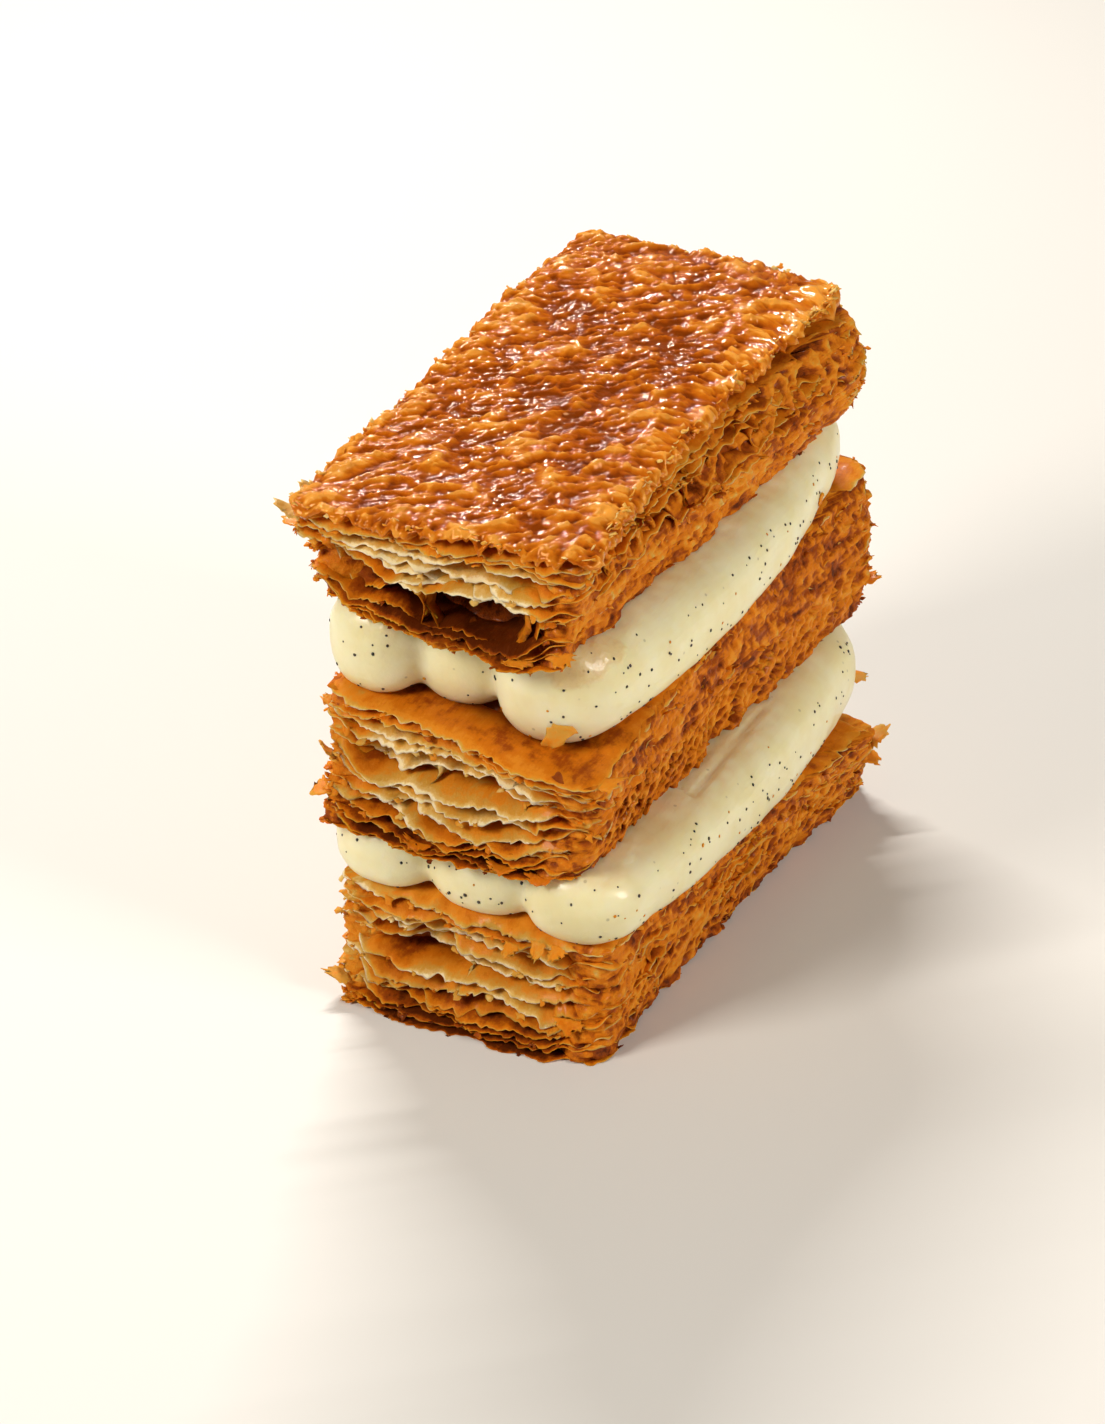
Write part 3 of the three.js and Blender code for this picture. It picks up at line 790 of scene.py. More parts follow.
# %% Bands of pores
# side, first and last height of a honeycomb band, pore size, pore depth
HONEYCOMB = {
    name: [right, (LEFT, 0.2, 0.7, 2.6, 1.6), (BACK, 0.2, 0.8, 2.6, 1.6)]
    for name, right in (("pastry_bottom", (RIGHT, 0.05, 0.75, 2.4, 1.3)),
                        ("pastry_middle", (RIGHT, -0.1, 0.54, 2.1, 3.4)),
                        ("pastry_top", (RIGHT, 0.45, 0.92, 3.3, 2.6)))
}
CRUMB_ROWS = 52
print("pores on the right side:", {name: bands[0][1:3] for name, bands in HONEYCOMB.items()})


# %% Closing a block
def close_block(xy, z):
    """Points, quads and end fans of a block whose walls are rows of rings, `xy` and `z`."""
    rows, columns = z.shape
    wall = np.concatenate([xy, z[..., None]], -1).reshape(-1, 3)
    ends = np.array([np.append(xy[j].mean(0), z[j].mean()) for j in (0, -1)])
    i = np.arange(columns)
    ahead, last = (i + 1) % columns, (rows - 1) * columns
    fans = np.concatenate([fan(ahead, i, len(wall)), fan(last + i, last + ahead, len(wall) + 1)])
    return np.concatenate([wall, ends]), sleeve(rows, columns, wrap_rows=False), fans


def make_mixed(name, points, quads, fans, marks=None):
    """Like make_piece, for quads and triangles together: the quads are split in two."""
    split = np.concatenate([quads[:, [0, 1, 2]], quads[:, [0, 2, 3]], fans])
    return make_piece(name, points, split, marks)


cube = close_block(np.zeros((2, 4, 2)), np.zeros((2, 4)))
print("a block of two rings of 4 points has", len(cube[0]), "points")


# %% Crumb wall round a slab
def crumb_wall(name, seed):
    """A closed block a little inside the rims, with ridges and pores on its sides."""
    slab = SLABS[name]
    stations = Stations(slab, CRUMB_SPACING)
    height = np.linspace(0.02, LEAF_SPAN[name][1] - 0.01, CRUMB_ROWS)[:, None]
    height = height * np.ones(stations.count)
    edge = stations.outline(slab, height)
    floor, lid = (face_height(slab, face, edge[..., 0], edge[..., 1]) for face in ("floor", "lid"))
    z = floor + (lid - floor) * height
    front = stations.on(FRONT, 6.0)
    place = np.concatenate([edge, z[..., None]], -1)
    stretched = place * np.array([1, 1, 4.5]) + np.array([0, 0, 1]) * (0.25 * edge[..., 1:2])
    slanted = place @ np.array([[1, 0, 0], [0, 1, 0.5], [0, -0.35, 0.45]]).T
    rough = 1 - 0.7 * front
    relief = 0.6 * soft_noise(stretched, 4.8, seed + 1)
    relief = relief + 0.42 * soft_noise(stretched, 2.2, seed + 2)
    grit = 0.2 * soft_noise(slanted, 1.3, seed + 5) + 0.13 * soft_noise(slanted, 0.7, seed + 7)
    # the ridge mask marks the crests of the grit for a painted highlight
    relief, ridge = rough * (relief + grit), 0.55 * rough * smooth_step((grit - 0.03) / 0.14)
    inset = 0.3 + 5.2 * front + front * 1.2 * soft_noise(place, 5, seed) - relief
    inset = inset + side_tears(name, stations, height)
    for side, low, high, size, deep in HONEYCOMB[name]:
        band = stations.on(side, 3.0) * smooth_step((height - low) / 0.08)
        band = band * smooth_step((high - height) / 0.08)
        wander = np.stack([soft_noise(place, size, seed + 8 + n) for n in range(3)], -1)
        wander = 0.4 * size * wander
        near, second, own = cells((place + wander) * np.array([0.75, 0.75, 1.25]), size, seed + 3)
        pore = band * deep * smooth_step((second - near - 0.1 * size) / (0.36 * size))
        pore = pore * (0.3 + 1.0 * own)
        inset, relief = inset + pore + 0.6 * band * relief, (1 - 0.6 * band) * relief - 0.5 * pore
        # in a honeycomb band the walls between pores get the painted highlight instead
        wall = 0.7 * band * smooth_step(1 - (second - near) / (0.3 * size))
        ridge = np.where(band > 0.3, wall, ridge)
    for side, along, middle, reach, opening in HOLLOWS[name]:
        off = stations.distance_from(side, along) / reach
        inset = inset + 0.8 * opening * np.exp(-off ** 2 - ((height - middle) / 0.18) ** 2)
    inset = np.clip(inset, -0.5, 10.0)
    points, quads, fans = close_block(inward(edge, inset, slab), z)
    pressed = stations.on(RIGHT, 4.0) * smooth_step((0.45 - height) / 0.12)
    bake_and_shade = browning_and_shade(name, stations, height, 1.0, edge, seed + 6)
    # painted shade: the crumb is darker where it lies deep and in its pores, lighter where it
    # stands out, and darker on the front, where it lies in shade behind the leaves
    bake_and_shade = bake_and_shade + 0.12 * front + 0.02 - 0.34 * relief
    bake_and_shade = bake_and_shade - 0.14 * pressed * (name == "pastry_top") + 0.1 * soft_noise(slanted, 0.9, seed + 9)
    marks = {"bake_and_shade": np.append(np.clip(bake_and_shade, 0.12, 0.92).ravel(), [0.5, 0.5]),
             "rim": np.append(ridge.ravel(), [0, 0])}
    return points, quads, fans, marks


crumb_blocks = {name: crumb_wall(name, 300 + 1000 * n) for n, name in enumerate(SLABS)}
print("points of the crumb:", {name: len(block[0]) for name, block in crumb_blocks.items()})

# %% [markdown]
# ## Colour of pastry
# Pale dough, butter gold, orange brown and roasted brown are stops on one scale, and a number per
# point says where on the scale a spot is. Rims are thin and let light through, so a painted glow
# lightens them, and the crests of the crumb, towards the pale end of the scale. A group of nodes
# mixes this once, and the leaves, the crumb and the loose flakes all use it.

# %% Groups, ramps and grain
def node_group(name, inputs, outputs):
    """A shader node group with named sockets: [(name, kind, default)] in and [(name, kind)] out."""
    group = bpy.data.node_groups.new(name, "ShaderNodeTree")
    for label, kind, default in inputs:
        socket = group.interface.new_socket(label, in_out="INPUT", socket_type=kind)
        if default is not None:
            socket.default_value = default
    for label, kind in outputs:
        group.interface.new_socket(label, in_out="OUTPUT", socket_type=kind)
    return group, group.nodes.new("NodeGroupInput"), group.nodes.new("NodeGroupOutput")


def ramp(nodes, stops, name):
    """A colour ramp from [(position, (r, g, b))], in linear light."""
    node = nodes.new("ShaderNodeValToRGB")
    node.name = node.label = name
    node.color_ramp.interpolation = "EASE"
    while len(node.color_ramp.elements) < len(stops):
        node.color_ramp.elements.new(0.5)
    for element, (position, colour) in zip(node.color_ramp.elements, stops):
        element.position, element.color = position, (*colour, 1)
    return node


def grain(nodes, links, where, size, detail=4.0, roughness=0.6, stretch=(1, 1, 1)):
    """Noise about `size` mm across, in object coordinates, stretched along an axis if asked."""
    mapping = nodes.new("ShaderNodeMapping")
    mapping.inputs["Scale"].default_value = stretch
    noise = nodes.new("ShaderNodeTexNoise")
    noise.inputs["Scale"].default_value = 1000.0 / size
    noise.inputs["Detail"].default_value = detail
    noise.inputs["Roughness"].default_value = roughness
    links.new(where, mapping.inputs["Vector"])
    links.new(mapping.outputs["Vector"], noise.inputs["Vector"])
    return noise.outputs["Fac"]


print("a grain 2 mm across has a scale of", 1000.0 / 2)


# %% Small steps between nodes
def tune(node, values):
    """Sets sockets of a node, by name, to plain values."""
    for socket, value in values.items():
        node.inputs[socket].default_value = value


def remap(nodes, links, value, start, end, low, high):
    """Moves a value from the range `start` to `end` into the range `low` to `high`."""
    node = nodes.new("ShaderNodeMapRange")
    tune(node, {"From Min": start, "From Max": end, "To Min": low, "To Max": high})
    links.new(value, node.inputs["Value"])
    return node.outputs["Result"]


def bumpy(nodes, links, shader, height, distance_mm, strength):
    """Lets a height move the light on a surface as if it were up to `distance_mm` deep."""
    node = nodes.new("ShaderNodeBump")
    tune(node, {"Distance": distance_mm * MM, "Strength": strength})
    links.new(height, node.inputs["Height"])
    links.new(node.outputs["Normal"], shader.inputs["Normal"])


def sums(nodes, links, operation, *values):
    """One Math node; each of `values` is a socket or a plain number."""
    node = nodes.new("ShaderNodeMath")
    node.operation = operation
    for socket, value in zip(node.inputs, values):
        if isinstance(value, (int, float)):
            socket.default_value = value
        else:
            links.new(value, socket)
    return node.outputs[0]


print("helpers for nodes:", ", ".join(helper.__name__ for helper in (tune, remap, bumpy, sums)))

# %% The browning group
BAKED = [(0.0, (0.93, 0.74, 0.42)), (0.16, (0.69, 0.43, 0.12)), (0.3, (0.62, 0.31, 0.043)),
         (0.46, (0.70, 0.24, 0.014)), (0.64, (0.60, 0.16, 0.004)), (0.84, (0.30, 0.056, 0.002)),
         (1.0, (0.10, 0.016, 0.001))]

browning_and_glow, into, out_of = node_group(
    "browned dough with painted glow",
    [("Bake", "NodeSocketFloat", 0.5), ("Rim Glow", "NodeSocketFloat", 0.0),
     ("Mottling", "NodeSocketFloat", 0.2)],
    [("Colour", "NodeSocketColor"), ("Fibres", "NodeSocketFloat")])
nodes, links = browning_and_glow.nodes, browning_and_glow.links
where = nodes.new("ShaderNodeTexCoord").outputs["Object"]
blotches = sums(nodes, links, "SUBTRACT", grain(nodes, links, where, 2.8, 5.0, 0.7), 0.5)
shade = sums(nodes, links, "MULTIPLY_ADD", blotches, into.outputs["Mottling"], into.outputs["Bake"])
fibres = grain(nodes, links, where, 1.1, 3.0, 0.7, (1.0, 0.22, 1.0))
shade = sums(nodes, links, "MULTIPLY_ADD", sums(nodes, links, "SUBTRACT", fibres, 0.5), 0.3, shade)
# painted glow: thin rims and crumb crests are lightened, as if lit through
shade = sums(nodes, links, "MULTIPLY_ADD", into.outputs["Rim Glow"], -0.36, shade)
scale = ramp(nodes, BAKED, "pale to roasted")
links.new(shade, scale.inputs["Fac"])
links.new(scale.outputs["Color"], out_of.inputs["Colour"])
links.new(fibres, out_of.inputs["Fibres"])
print("browning scale has", len(BAKED), "stops")

# %% [markdown]
# ## Leaf and crumb materials
# A baked leaf is crisp and a little buttery, so it has a soft gloss that changes from spot to
# spot, and light soaks a little way into it. The reach of that light is short and nearly the same
# for all colours: if red went much further, it would leave through the far side of a leaf this
# thin, and the pale leaves would turn olive.

# %% Materials for leaves and crumb
def principled(name):
    """A new material with its Principled shader, ready to wire."""
    material = bpy.data.materials.new(name)
    material.use_nodes = True
    tree = material.node_tree
    return material, tree.nodes, tree.links, tree.nodes["Principled BSDF"]


def mark_value(nodes, mark):
    """Reads the numbers that a mesh carries under the name `mark`."""
    node = nodes.new("ShaderNodeAttribute")
    node.attribute_name = mark
    return node.outputs["Fac"]


def pastry_material(name, mottling, gloss, bump_mm, scattering, butter):
    """Baked dough. `gloss` is (roughest, smoothest), `bump_mm` how high its fibres are, and
    `butter` its wet shine."""
    material, nodes, links, shader = principled(name)
    dough = nodes.new("ShaderNodeGroup")
    dough.node_tree = browning_and_glow
    dough.inputs["Mottling"].default_value = mottling
    links.new(mark_value(nodes, "bake_and_shade"), dough.inputs["Bake"])
    links.new(mark_value(nodes, "rim"), dough.inputs["Rim Glow"])
    links.new(dough.outputs["Colour"], shader.inputs["Base Color"])
    where = nodes.new("ShaderNodeTexCoord").outputs["Object"]
    spread = remap(nodes, links, grain(nodes, links, where, 2.4, 3.0), 0.35, 0.65, *gloss)
    links.new(spread, shader.inputs["Roughness"])
    bumpy(nodes, links, shader, dough.outputs["Fibres"], bump_mm, 0.8)
    greased = remap(nodes, links, grain(nodes, links, where, 4.5, 4.0), 0.45, 0.62, 0.0, butter)
    links.new(greased, shader.inputs["Coat Weight"])
    tune(shader, {"Subsurface Weight": scattering, "Subsurface Radius": (1.0, 0.8, 0.5),
                  "Subsurface Scale": 0.5 * MM, "Specular IOR Level": 0.08, "Coat Roughness": 0.16})
    return material


leaf_finish = pastry_material("baked leaf", 0.6, (0.62, 0.38), 0.2, 0.45, 0.12)
crumb_finish = pastry_material("baked crumb", 0.75, (0.7, 0.5), 0.5, 0.2, 0.15)
print("materials:", leaf_finish.name, "and", crumb_finish.name)

# %% Leaves and crumb on the slice
for name, (points, faces, marks, _) in leaf_stacks.items():
    leaves = make_piece(name.replace("pastry", "leaves"), points.reshape(-1, 3), faces, marks)
    serve(leaves, leaf_finish, name)
    crumb = make_mixed(name.replace("pastry", "crumb"), *crumb_blocks[name])
    serve(crumb, crumb_finish, name)
    strand_points, strand_faces, strand_bake = strand_walls[name]
    joined = make_piece(name.replace("pastry", "strands"), strand_points, strand_faces,
                        {"bake_and_shade": strand_bake})
    serve(joined, leaf_finish, name)

# %% [markdown]
# ## Flakes
# Every bite and every cut leaves small broken bits of leaf that still cling to the rims. They have
# ragged outlines and a slight curl. These small ones are strewn along the rims of the leaves.

# %% Flakes of broken leaf
FLAKE_LOBES = 10
FLAKE_THICKNESS = 0.09  # mm


def flakes(places, outs, pitch, yaw, size, curl, seed):
    """Points and faces of thin ragged plates, and how many points each has. `outs` says which way
    each plate points, `pitch` how it tips."""
    random = np.random.default_rng(seed)
    count, lobes, thin = len(places), FLAKE_LOBES, FLAKE_THICKNESS
    turn = 2 * np.pi * (np.arange(lobes) + random.uniform(-0.3, 0.3, (count, lobes))) / lobes
    radius = size[:, None] * random.uniform(0.24, 0.7, (count, lobes))
    u, v = radius * np.cos(turn) * 1.25, radius * np.sin(turn)
    out = np.concatenate([outs, np.zeros((count, 1))], 1)
    side = np.stack([-out[:, 1], out[:, 0], 0 * out[:, 0]], 1)
    tipped = out * np.cos(pitch)[:, None] + np.array([0, 0, 1]) * np.sin(pitch)[:, None]
    long_way = side * np.cos(yaw)[:, None] + tipped * np.sin(yaw)[:, None]
    short_way = tipped * np.cos(yaw)[:, None] - side * np.sin(yaw)[:, None]
    face = np.cross(long_way, short_way)
    centre = places + tipped * (0.4 * size)[:, None]
    bent = (curl / size)[:, None] * (u ** 2 + 0.5 * v ** 2)
    ring = (centre[:, None] + long_way[:, None] * u[..., None] + short_way[:, None] * v[..., None]
            + face[:, None] * bent[..., None])
    lift = face[:, None] * thin
    points = np.concatenate([ring + 0.4 * lift, ring - 0.4 * lift,
                             centre[:, None] + lift, centre[:, None] - lift], 1)
    i = np.arange(lobes)
    ahead = (i + 1) % lobes
    plate = np.concatenate([fan(i, ahead, 2 * lobes), fan(lobes + ahead, lobes + i, 2 * lobes + 1),
                            np.stack([i, lobes + i, lobes + ahead], 1),
                            np.stack([i, lobes + ahead, ahead], 1)])
    faces = (plate[None] + (np.arange(count) * points.shape[1])[:, None, None]).reshape(-1, 3)
    return points.reshape(-1, 3), faces, points.shape[1]


one_flake = flakes(*(np.zeros((1, n)) for n in (3, 2)), *np.ones((4, 1)), seed=1)
print("one flake has", one_flake[2], "points")


# %% Flakes along the rims
def strew_flakes(name, count, seed):
    """Small flakes along the rims of one slab's leaves."""
    grid, _, marks, stations = leaf_stacks[name]
    random = np.random.default_rng(seed)
    chance = np.array([0.3, 0.9, 0.7, 0.7])[stations.side]
    chance = chance * (1 + 2.5 * np.exp(-(stations.distance_from(LEFT, 1.0) / 5) ** 2))
    i = random.choice(stations.count, count, p=chance / chance.sum())
    k = random.integers(0, len(grid), count)
    size = random.uniform(0.5, 1.25, count) ** 1.3
    bake_and_shade = marks["bake_and_shade"].reshape(grid.shape[:3])[k, 1, i] + random.uniform(-0.12, 0.12, count)
    turns = (-1.35, 0.5), (-1.2, 1.2), (-0.5, 0.5)
    pitch, yaw, curl = (random.uniform(low, high, count) for low, high in turns)
    points, faces, each = flakes(grid[k, 1, i], stations.out[i], pitch, yaw, size, curl, seed)
    label = name.replace("pastry", "flakes")
    strewn = make_piece(label, points, faces, {"bake_and_shade": np.repeat(bake_and_shade, each)})
    serve(strewn, leaf_finish, name)


FLAKES_PER_SLAB = 400
for n, name in enumerate(SLABS):
    strew_flakes(name, FLAKES_PER_SLAB, 900 + 1000 * n)

# %% [markdown]
# ## The glazed crust
# The lid was dusted with sugar and baked hot, so that it melted into caramel over a skin full of
# blisters. The skin is a sheet stretched between the four edges of the lid (a Coons patch: the
# average of the two ways to join opposite edges). Broad swellings, wind-blown ripples and round
# blisters are added in that order, from large to small.

# %% Wrinkles and blisters
BLISTER_HEADING = np.radians(38.0)


def on_skin(plan, size, stretch, seed):
    """Plan points turned to the heading, pulled long along it, and wobbled a little."""
    flat = at(plan)
    warp = np.stack([soft_noise(flat, 0.9 * size, seed + n) for n in range(2)], -1)
    x, y = np.moveaxis(plan + 0.35 * size * warp, -1, 0)
    along = (x * np.cos(BLISTER_HEADING) + y * np.sin(BLISTER_HEADING)) / stretch
    across = y * np.cos(BLISTER_HEADING) - x * np.sin(BLISTER_HEADING)
    return np.stack([along, across, np.zeros_like(along)], -1)


def wrinkles(plan, size, stretch, seed):
    """Thin crests from 0 to 1, about `size` mm apart, with wide valleys between them."""
    swell = soft_noise(on_skin(plan, size, stretch, seed), size, seed + 2)
    return np.clip(1 - np.abs(swell) / 0.42, 0, 1) ** 1.4


def blisters(plan, size, stretch, seed):
    """Rounded domes from 0 to 1, about `size` mm wide, and the creases between them."""
    near, second, name = cells(on_skin(plan, size, stretch, seed), size, seed + 2)
    dome = np.sqrt(np.clip(1 - (near / (0.8 * size)) ** 2, 0, 1)) * (0.25 + 0.75 * name)
    return dome, np.exp(-((second - near) / (0.12 * size)) ** 2)


patch = np.random.default_rng(2).uniform(-15, 15, (4000, 2))
print("share under wrinkles: %.2f, mean height of blisters: %.2f"
      % (np.mean(wrinkles(patch, 4.4, 2.4, 110) > 0), blisters(patch, 4.6, 1.35, 74)[0].mean()))


# %% Relief of the crust
WRINKLES = [(0.6, 4.4, 110), (0.46, 2.3, 120), (0.26, 1.3, 130)]  # height and spacing (mm), seed
WRINKLE_STRETCH = 2.4


def crust_relief(plan):
    """Height of the crust over the flat lid (mm), its fine relief, and how deep its creases are."""
    flat = at(plan)
    broad = 0.55 * soft_noise(flat, 15, 72) + 0.35 * soft_noise(flat, 7, 73)
    large, large_crease = blisters(plan, 4.6, 1.35, 74)
    small, small_crease = blisters(plan, 2.0, 1.35, 78)
    tiny, _ = blisters(plan, 1.15, 1.2, 92)
    grainy = 0.35 + 0.65 * smooth_step((plan[..., 1] + 25) / 45)
    fine = 0.13 * soft_noise(on_skin(plan, 1.2, 2.4, 140), 1.2, 82)
    fine = fine + grainy * (0.07 * soft_noise(on_skin(plan, 0.7, 1.6, 150), 0.7, 83) + 0.16 * tiny)
    near, _, own = cells(flat, 2.3, 95)
    pits = np.where(own > 0.45, np.exp(-(near / 0.36) ** 2), 0)
    crests = sum(mm * wrinkles(plan, size, WRINKLE_STRETCH, seed) for mm, size, seed in WRINKLES)
    relief = crests + 0.42 * large + 0.26 * small - 0.1 * large_crease + fine - 0.4 * pits - 0.25
    creases = np.clip(0.8 * large_crease + 0.5 * small_crease, 0, 1)
    return broad + relief - 0.3, relief - 0.24 * large, creases


patch_height = crust_relief(patch)[0]
print("the patch rises from %.2f to %.2f mm" % (patch_height.min(), patch_height.max()))


# %% The lid's four edges, and the plan between them
CORNER_SHARE = 0.03  # share of an edge that its half of a corner's rounding takes


def curve(q, start, tip, end):
    """A point on the curve that leaves `start` towards `tip` and comes to `end`."""
    return (1 - q) ** 2 * start + 2 * q * (1 - q) * tip + q * q * end


def lid_edge(slab, side, t):
    """Edge of the lid along a side, with its half of each corner rounding."""
    lid, share = np.ones(1), CORNER_SHARE
    inner = on_side(slab, side, np.clip((t - share) / (1 - 2 * share), 0, 1), np.ones_like(t))
    before = on_side(slab, (side + 3) % 4, np.ones(1), lid)[0]
    after = on_side(slab, (side + 1) % 4, np.zeros(1), lid)[0]
    own_start, own_end = (on_side(slab, side, np.full(1, end), lid)[0] for end in (0.0, 1.0))
    tip_start, tip_end = corner(slab, side, lid)[0], corner(slab, (side + 1) % 4, lid)[0]
    start = curve(0.5 + 0.5 * np.clip(t / share, 0, 1)[..., None], before, tip_start, own_start)
    end = curve(0.5 * np.clip((t - (1 - share)) / share, 0, 1)[..., None], own_end, tip_end, after)
    at_end = np.where((t > 1 - share)[..., None], end, inner)
    return np.where((t < share)[..., None], start, at_end)


def stretch_between(front, right, back, left, U, V):
    """The Coons patch of four edges: U runs from left to right and V from front to back."""
    plan = (1 - V) * front[None] + V * back[None] + (1 - U) * left[:, None] + U * right[:, None]
    return plan - ((1 - U) * (1 - V) * front[0] + U * (1 - V) * front[-1]
                   + U * V * back[-1] + (1 - U) * V * back[0])


print("front edge of the lid, from", lid_edge(SLABS["pastry_top"], FRONT, np.array([0.0, 1.0])))


# %% The crust's sheet
CRUST_COLUMNS, CRUST_ROWS = 170, 366
LID_WIDTH, LID_LENGTH = 42, 92  # mm, rounded


def glaze_crust():
    """Plan, height, fine relief, and how far from the rim (0 to 1) each point of the crust is."""
    slab = SLABS["pastry_top"]
    u, v = np.linspace(0, 1, CRUST_COLUMNS), np.linspace(0, 1, CRUST_ROWS)
    front, back = lid_edge(slab, FRONT, u), lid_edge(slab, BACK, 1 - u)
    right, left = lid_edge(slab, RIGHT, v), lid_edge(slab, LEFT, 1 - v)
    plan = stretch_between(front, right, back, left, u[None, :, None], v[:, None, None])
    flat = at(plan)
    lift, relief, crease = crust_relief(plan)
    to_edge = np.minimum(np.minimum(u, 1 - u)[None] * LID_WIDTH,
                         np.minimum(v, 1 - v)[:, None] * LID_LENGTH)
    nubs, _ = blisters(plan, 1.5, 1.1, 96)
    crinkle = 0.34 * soft_noise(flat, 1.5, 85) + 0.24 * soft_noise(flat, 0.8, 86)
    crinkle = crinkle + 0.75 * (nubs - 0.4)
    crinkle = crinkle * (1 + 0.9 * np.exp(-((plan - back[-1]) ** 2).sum(-1) / 5.0 ** 2))
    near_rim = smooth_step(1 - to_edge / 5)
    rolled = np.clip(1 - to_edge / 3.2, 0, 1) ** 2
    z = face_height(slab, "lid", plan[..., 0], plan[..., 1]) + lift - 0.1
    z = z + crinkle * near_rim - rolled * (0.9 + 0.5 * soft_noise(flat, 6, 87))
    return plan, z, relief - 0.35 * crease + 0.9 * crinkle * near_rim, smooth_step(to_edge / 7)


crust_plan, crust_z, crust_fine, crust_middle = glaze_crust()
print("crust rises from %.1f to %.1f mm, its relief is %.2f with a spread of %.2f mm"
      % (crust_z.min(), crust_z.max(), crust_fine.mean(), crust_fine.std()))

# %% The crust's rolled rim and underside
# rings of the lip from the rim over and under it: how far each stands out, and its drop (mm)
LIPS = [(0.28, -0.15), (0.4, -0.4), (0.3, -0.65), (-0.2, -0.8), (-3.0, -1.9), (-9.0, -2.1)]
TORN_LIPS = 4  # the first ones, which stand in the open


def close_crust(plan, z, fine, middle_share):
    """Adds a lip that rolls over the edge and tears, and an underside, to the crust's sheet."""
    rows, columns = z.shape
    first = rows * columns
    grid = np.arange(first).reshape(rows, columns)
    around = np.concatenate([grid[0], grid[1:, -1], grid[-1, -2::-1], grid[-2:0:-1, 0]])
    rim = plan.reshape(-1, 2)[around]
    rim_z = z.ravel()[around]
    step = np.linalg.norm(np.roll(rim, -1, 0) - rim, axis=1)
    walked = np.concatenate([[0], np.cumsum(step)[:-1]])
    total = step.sum()
    tangent = np.roll(rim, -3, 0) - np.roll(rim, 3, 0)
    out = np.stack([tangent[:, 1], -tangent[:, 0]], -1)
    out /= np.linalg.norm(out, axis=1)[:, None]
    teeth = 0.5 * torn(walked, total, 1.6, 81) + 0.45 * torn(walked, total, 0.8, 82)
    bulge = 0.5 + 0.5 * soft_noise(at(rim), 5, 83)
    points = [np.concatenate([plan, z[..., None]], -1).reshape(-1, 3)]
    marks, middles = [fine.ravel()], [middle_share.ravel()]
    for n, (stand, drop) in enumerate(LIPS):
        share = min(1.0, (n + 1) / 3) if n < TORN_LIPS else 0.0
        rough = soft_noise(at(rim, 2.0 * n), 0.9, 84)
        push = stand + share * (share * teeth + 0.4 * bulge + 0.5 * rough)
        ring = rim + out * push[:, None]
        if n >= TORN_LIPS:
            ring = inward(rim, np.full(len(rim), -stand), SLABS["pastry_top"])
        level = rim_z + drop - share * (0.4 * bulge + 0.5 * share * teeth + 0.35 * rough)
        points.append(np.concatenate([ring, level[:, None]], -1))
        marks.append(0.1 + 0.5 * bulge + 0.3 * teeth + 0.5 * rough)
        middles.append(np.full(len(rim), 0.1))
    count = len(around)
    i = np.arange(count)
    ahead = (i + 1) % count
    bands = [np.stack([around[ahead], around[i], first + i, first + ahead], -1)]
    for n in range(len(LIPS) - 1):
        a, b = first + n * count, first + (n + 1) * count
        bands.append(np.stack([a + ahead, a + i, b + i, b + ahead], -1))
    last = first + (len(LIPS) - 1) * count
    under = fan(last + ahead, last + i, first + len(LIPS) * count)
    points.append(np.append(rim.mean(0), rim_z.mean() + LIPS[-1][1])[None])
    marks = {"relief": np.append(np.concatenate(marks), 0.0),
             "inner": np.append(np.concatenate(middles), 0.0)}
    return np.concatenate(points), np.concatenate([sheet_faces(grid)] + bands), under, marks


crust_points, crust_quads, crust_fan, crust_marks = close_crust(
    crust_plan, crust_z, crust_fine, crust_middle)
print("points of the crust:", len(crust_points))

# %% Where the glaze is scorched
# place (mm), reach (mm), strength
SCORCHED = [((-9, 2), 14, 0.24), ((-3, 16), 12, 0.24), ((-16, 22), 9, 0.12), ((2, -22), 9, 0.1),
            ((-14, 42), 13, 0.14)]
crust_flat = crust_points[:, :2]
scorch = 0.16 * soft_noise(at(crust_flat), 13, 90) + 0.1 * soft_noise(at(crust_flat), 5, 91)
for centre, reach, strength in SCORCHED:
    scorch += strength * np.exp(-np.sum((crust_flat - centre) ** 2, 1) / reach ** 2)
crust_marks["scorch"] = scorch - 0.2 * (1 - crust_marks["inner"])
crust = make_mixed("crust", crust_points, crust_quads, crust_fan, crust_marks)

# %% Crisp bits along the rim of the crust
def crisp_rim(count, seed):
    """Small flakes of skin that stand out of the crust's rim, most of them on its long sides."""
    random = np.random.default_rng(seed)
    stations = Stations(SLABS["pastry_top"], (0.5, 0.5, 0.5, 0.5))
    chance = np.array([0.5, 1.0, 0.6, 1.0])[stations.side]
    chance = chance + 3 * np.exp(-(stations.distance_from(RIGHT, 1.0) / 5) ** 2)
    i = random.choice(stations.count, count, p=chance / chance.sum())
    rim = stations.outline(SLABS["pastry_top"], np.ones(stations.count))[i]
    rim = rim - 0.7 * stations.out[i] * random.uniform(0, 1.4, (count, 1))
    skip = 5  # it is enough to look at every fifth point of the crust
    near = np.argmin(((crust_plan.reshape(-1, 1, 2)[::skip] - rim[None]) ** 2).sum(-1), 0) * skip
    level = crust_z.reshape(-1)[near, None] - random.uniform(-0.1, 0.7, (count, 1))
    ranges = (-0.5, 1.2), (-1.2, 1.2), (0.5, 1.15), (-0.6, 0.6)
    pitch, yaw, size, curl = (random.uniform(low, high, count) for low, high in ranges)
    return flakes(np.concatenate([rim, level], 1), stations.out[i], pitch, yaw, size, curl, seed)


CRISP_BITS = 300
bits, bit_faces, each = crisp_rim(CRISP_BITS, 160)
bit_bake = np.repeat(np.random.default_rng(161).uniform(0.14, 0.5, CRISP_BITS), each)
serve(make_piece("crisp_rim", bits, bit_faces, {"bake_and_shade": bit_bake}), leaf_finish)

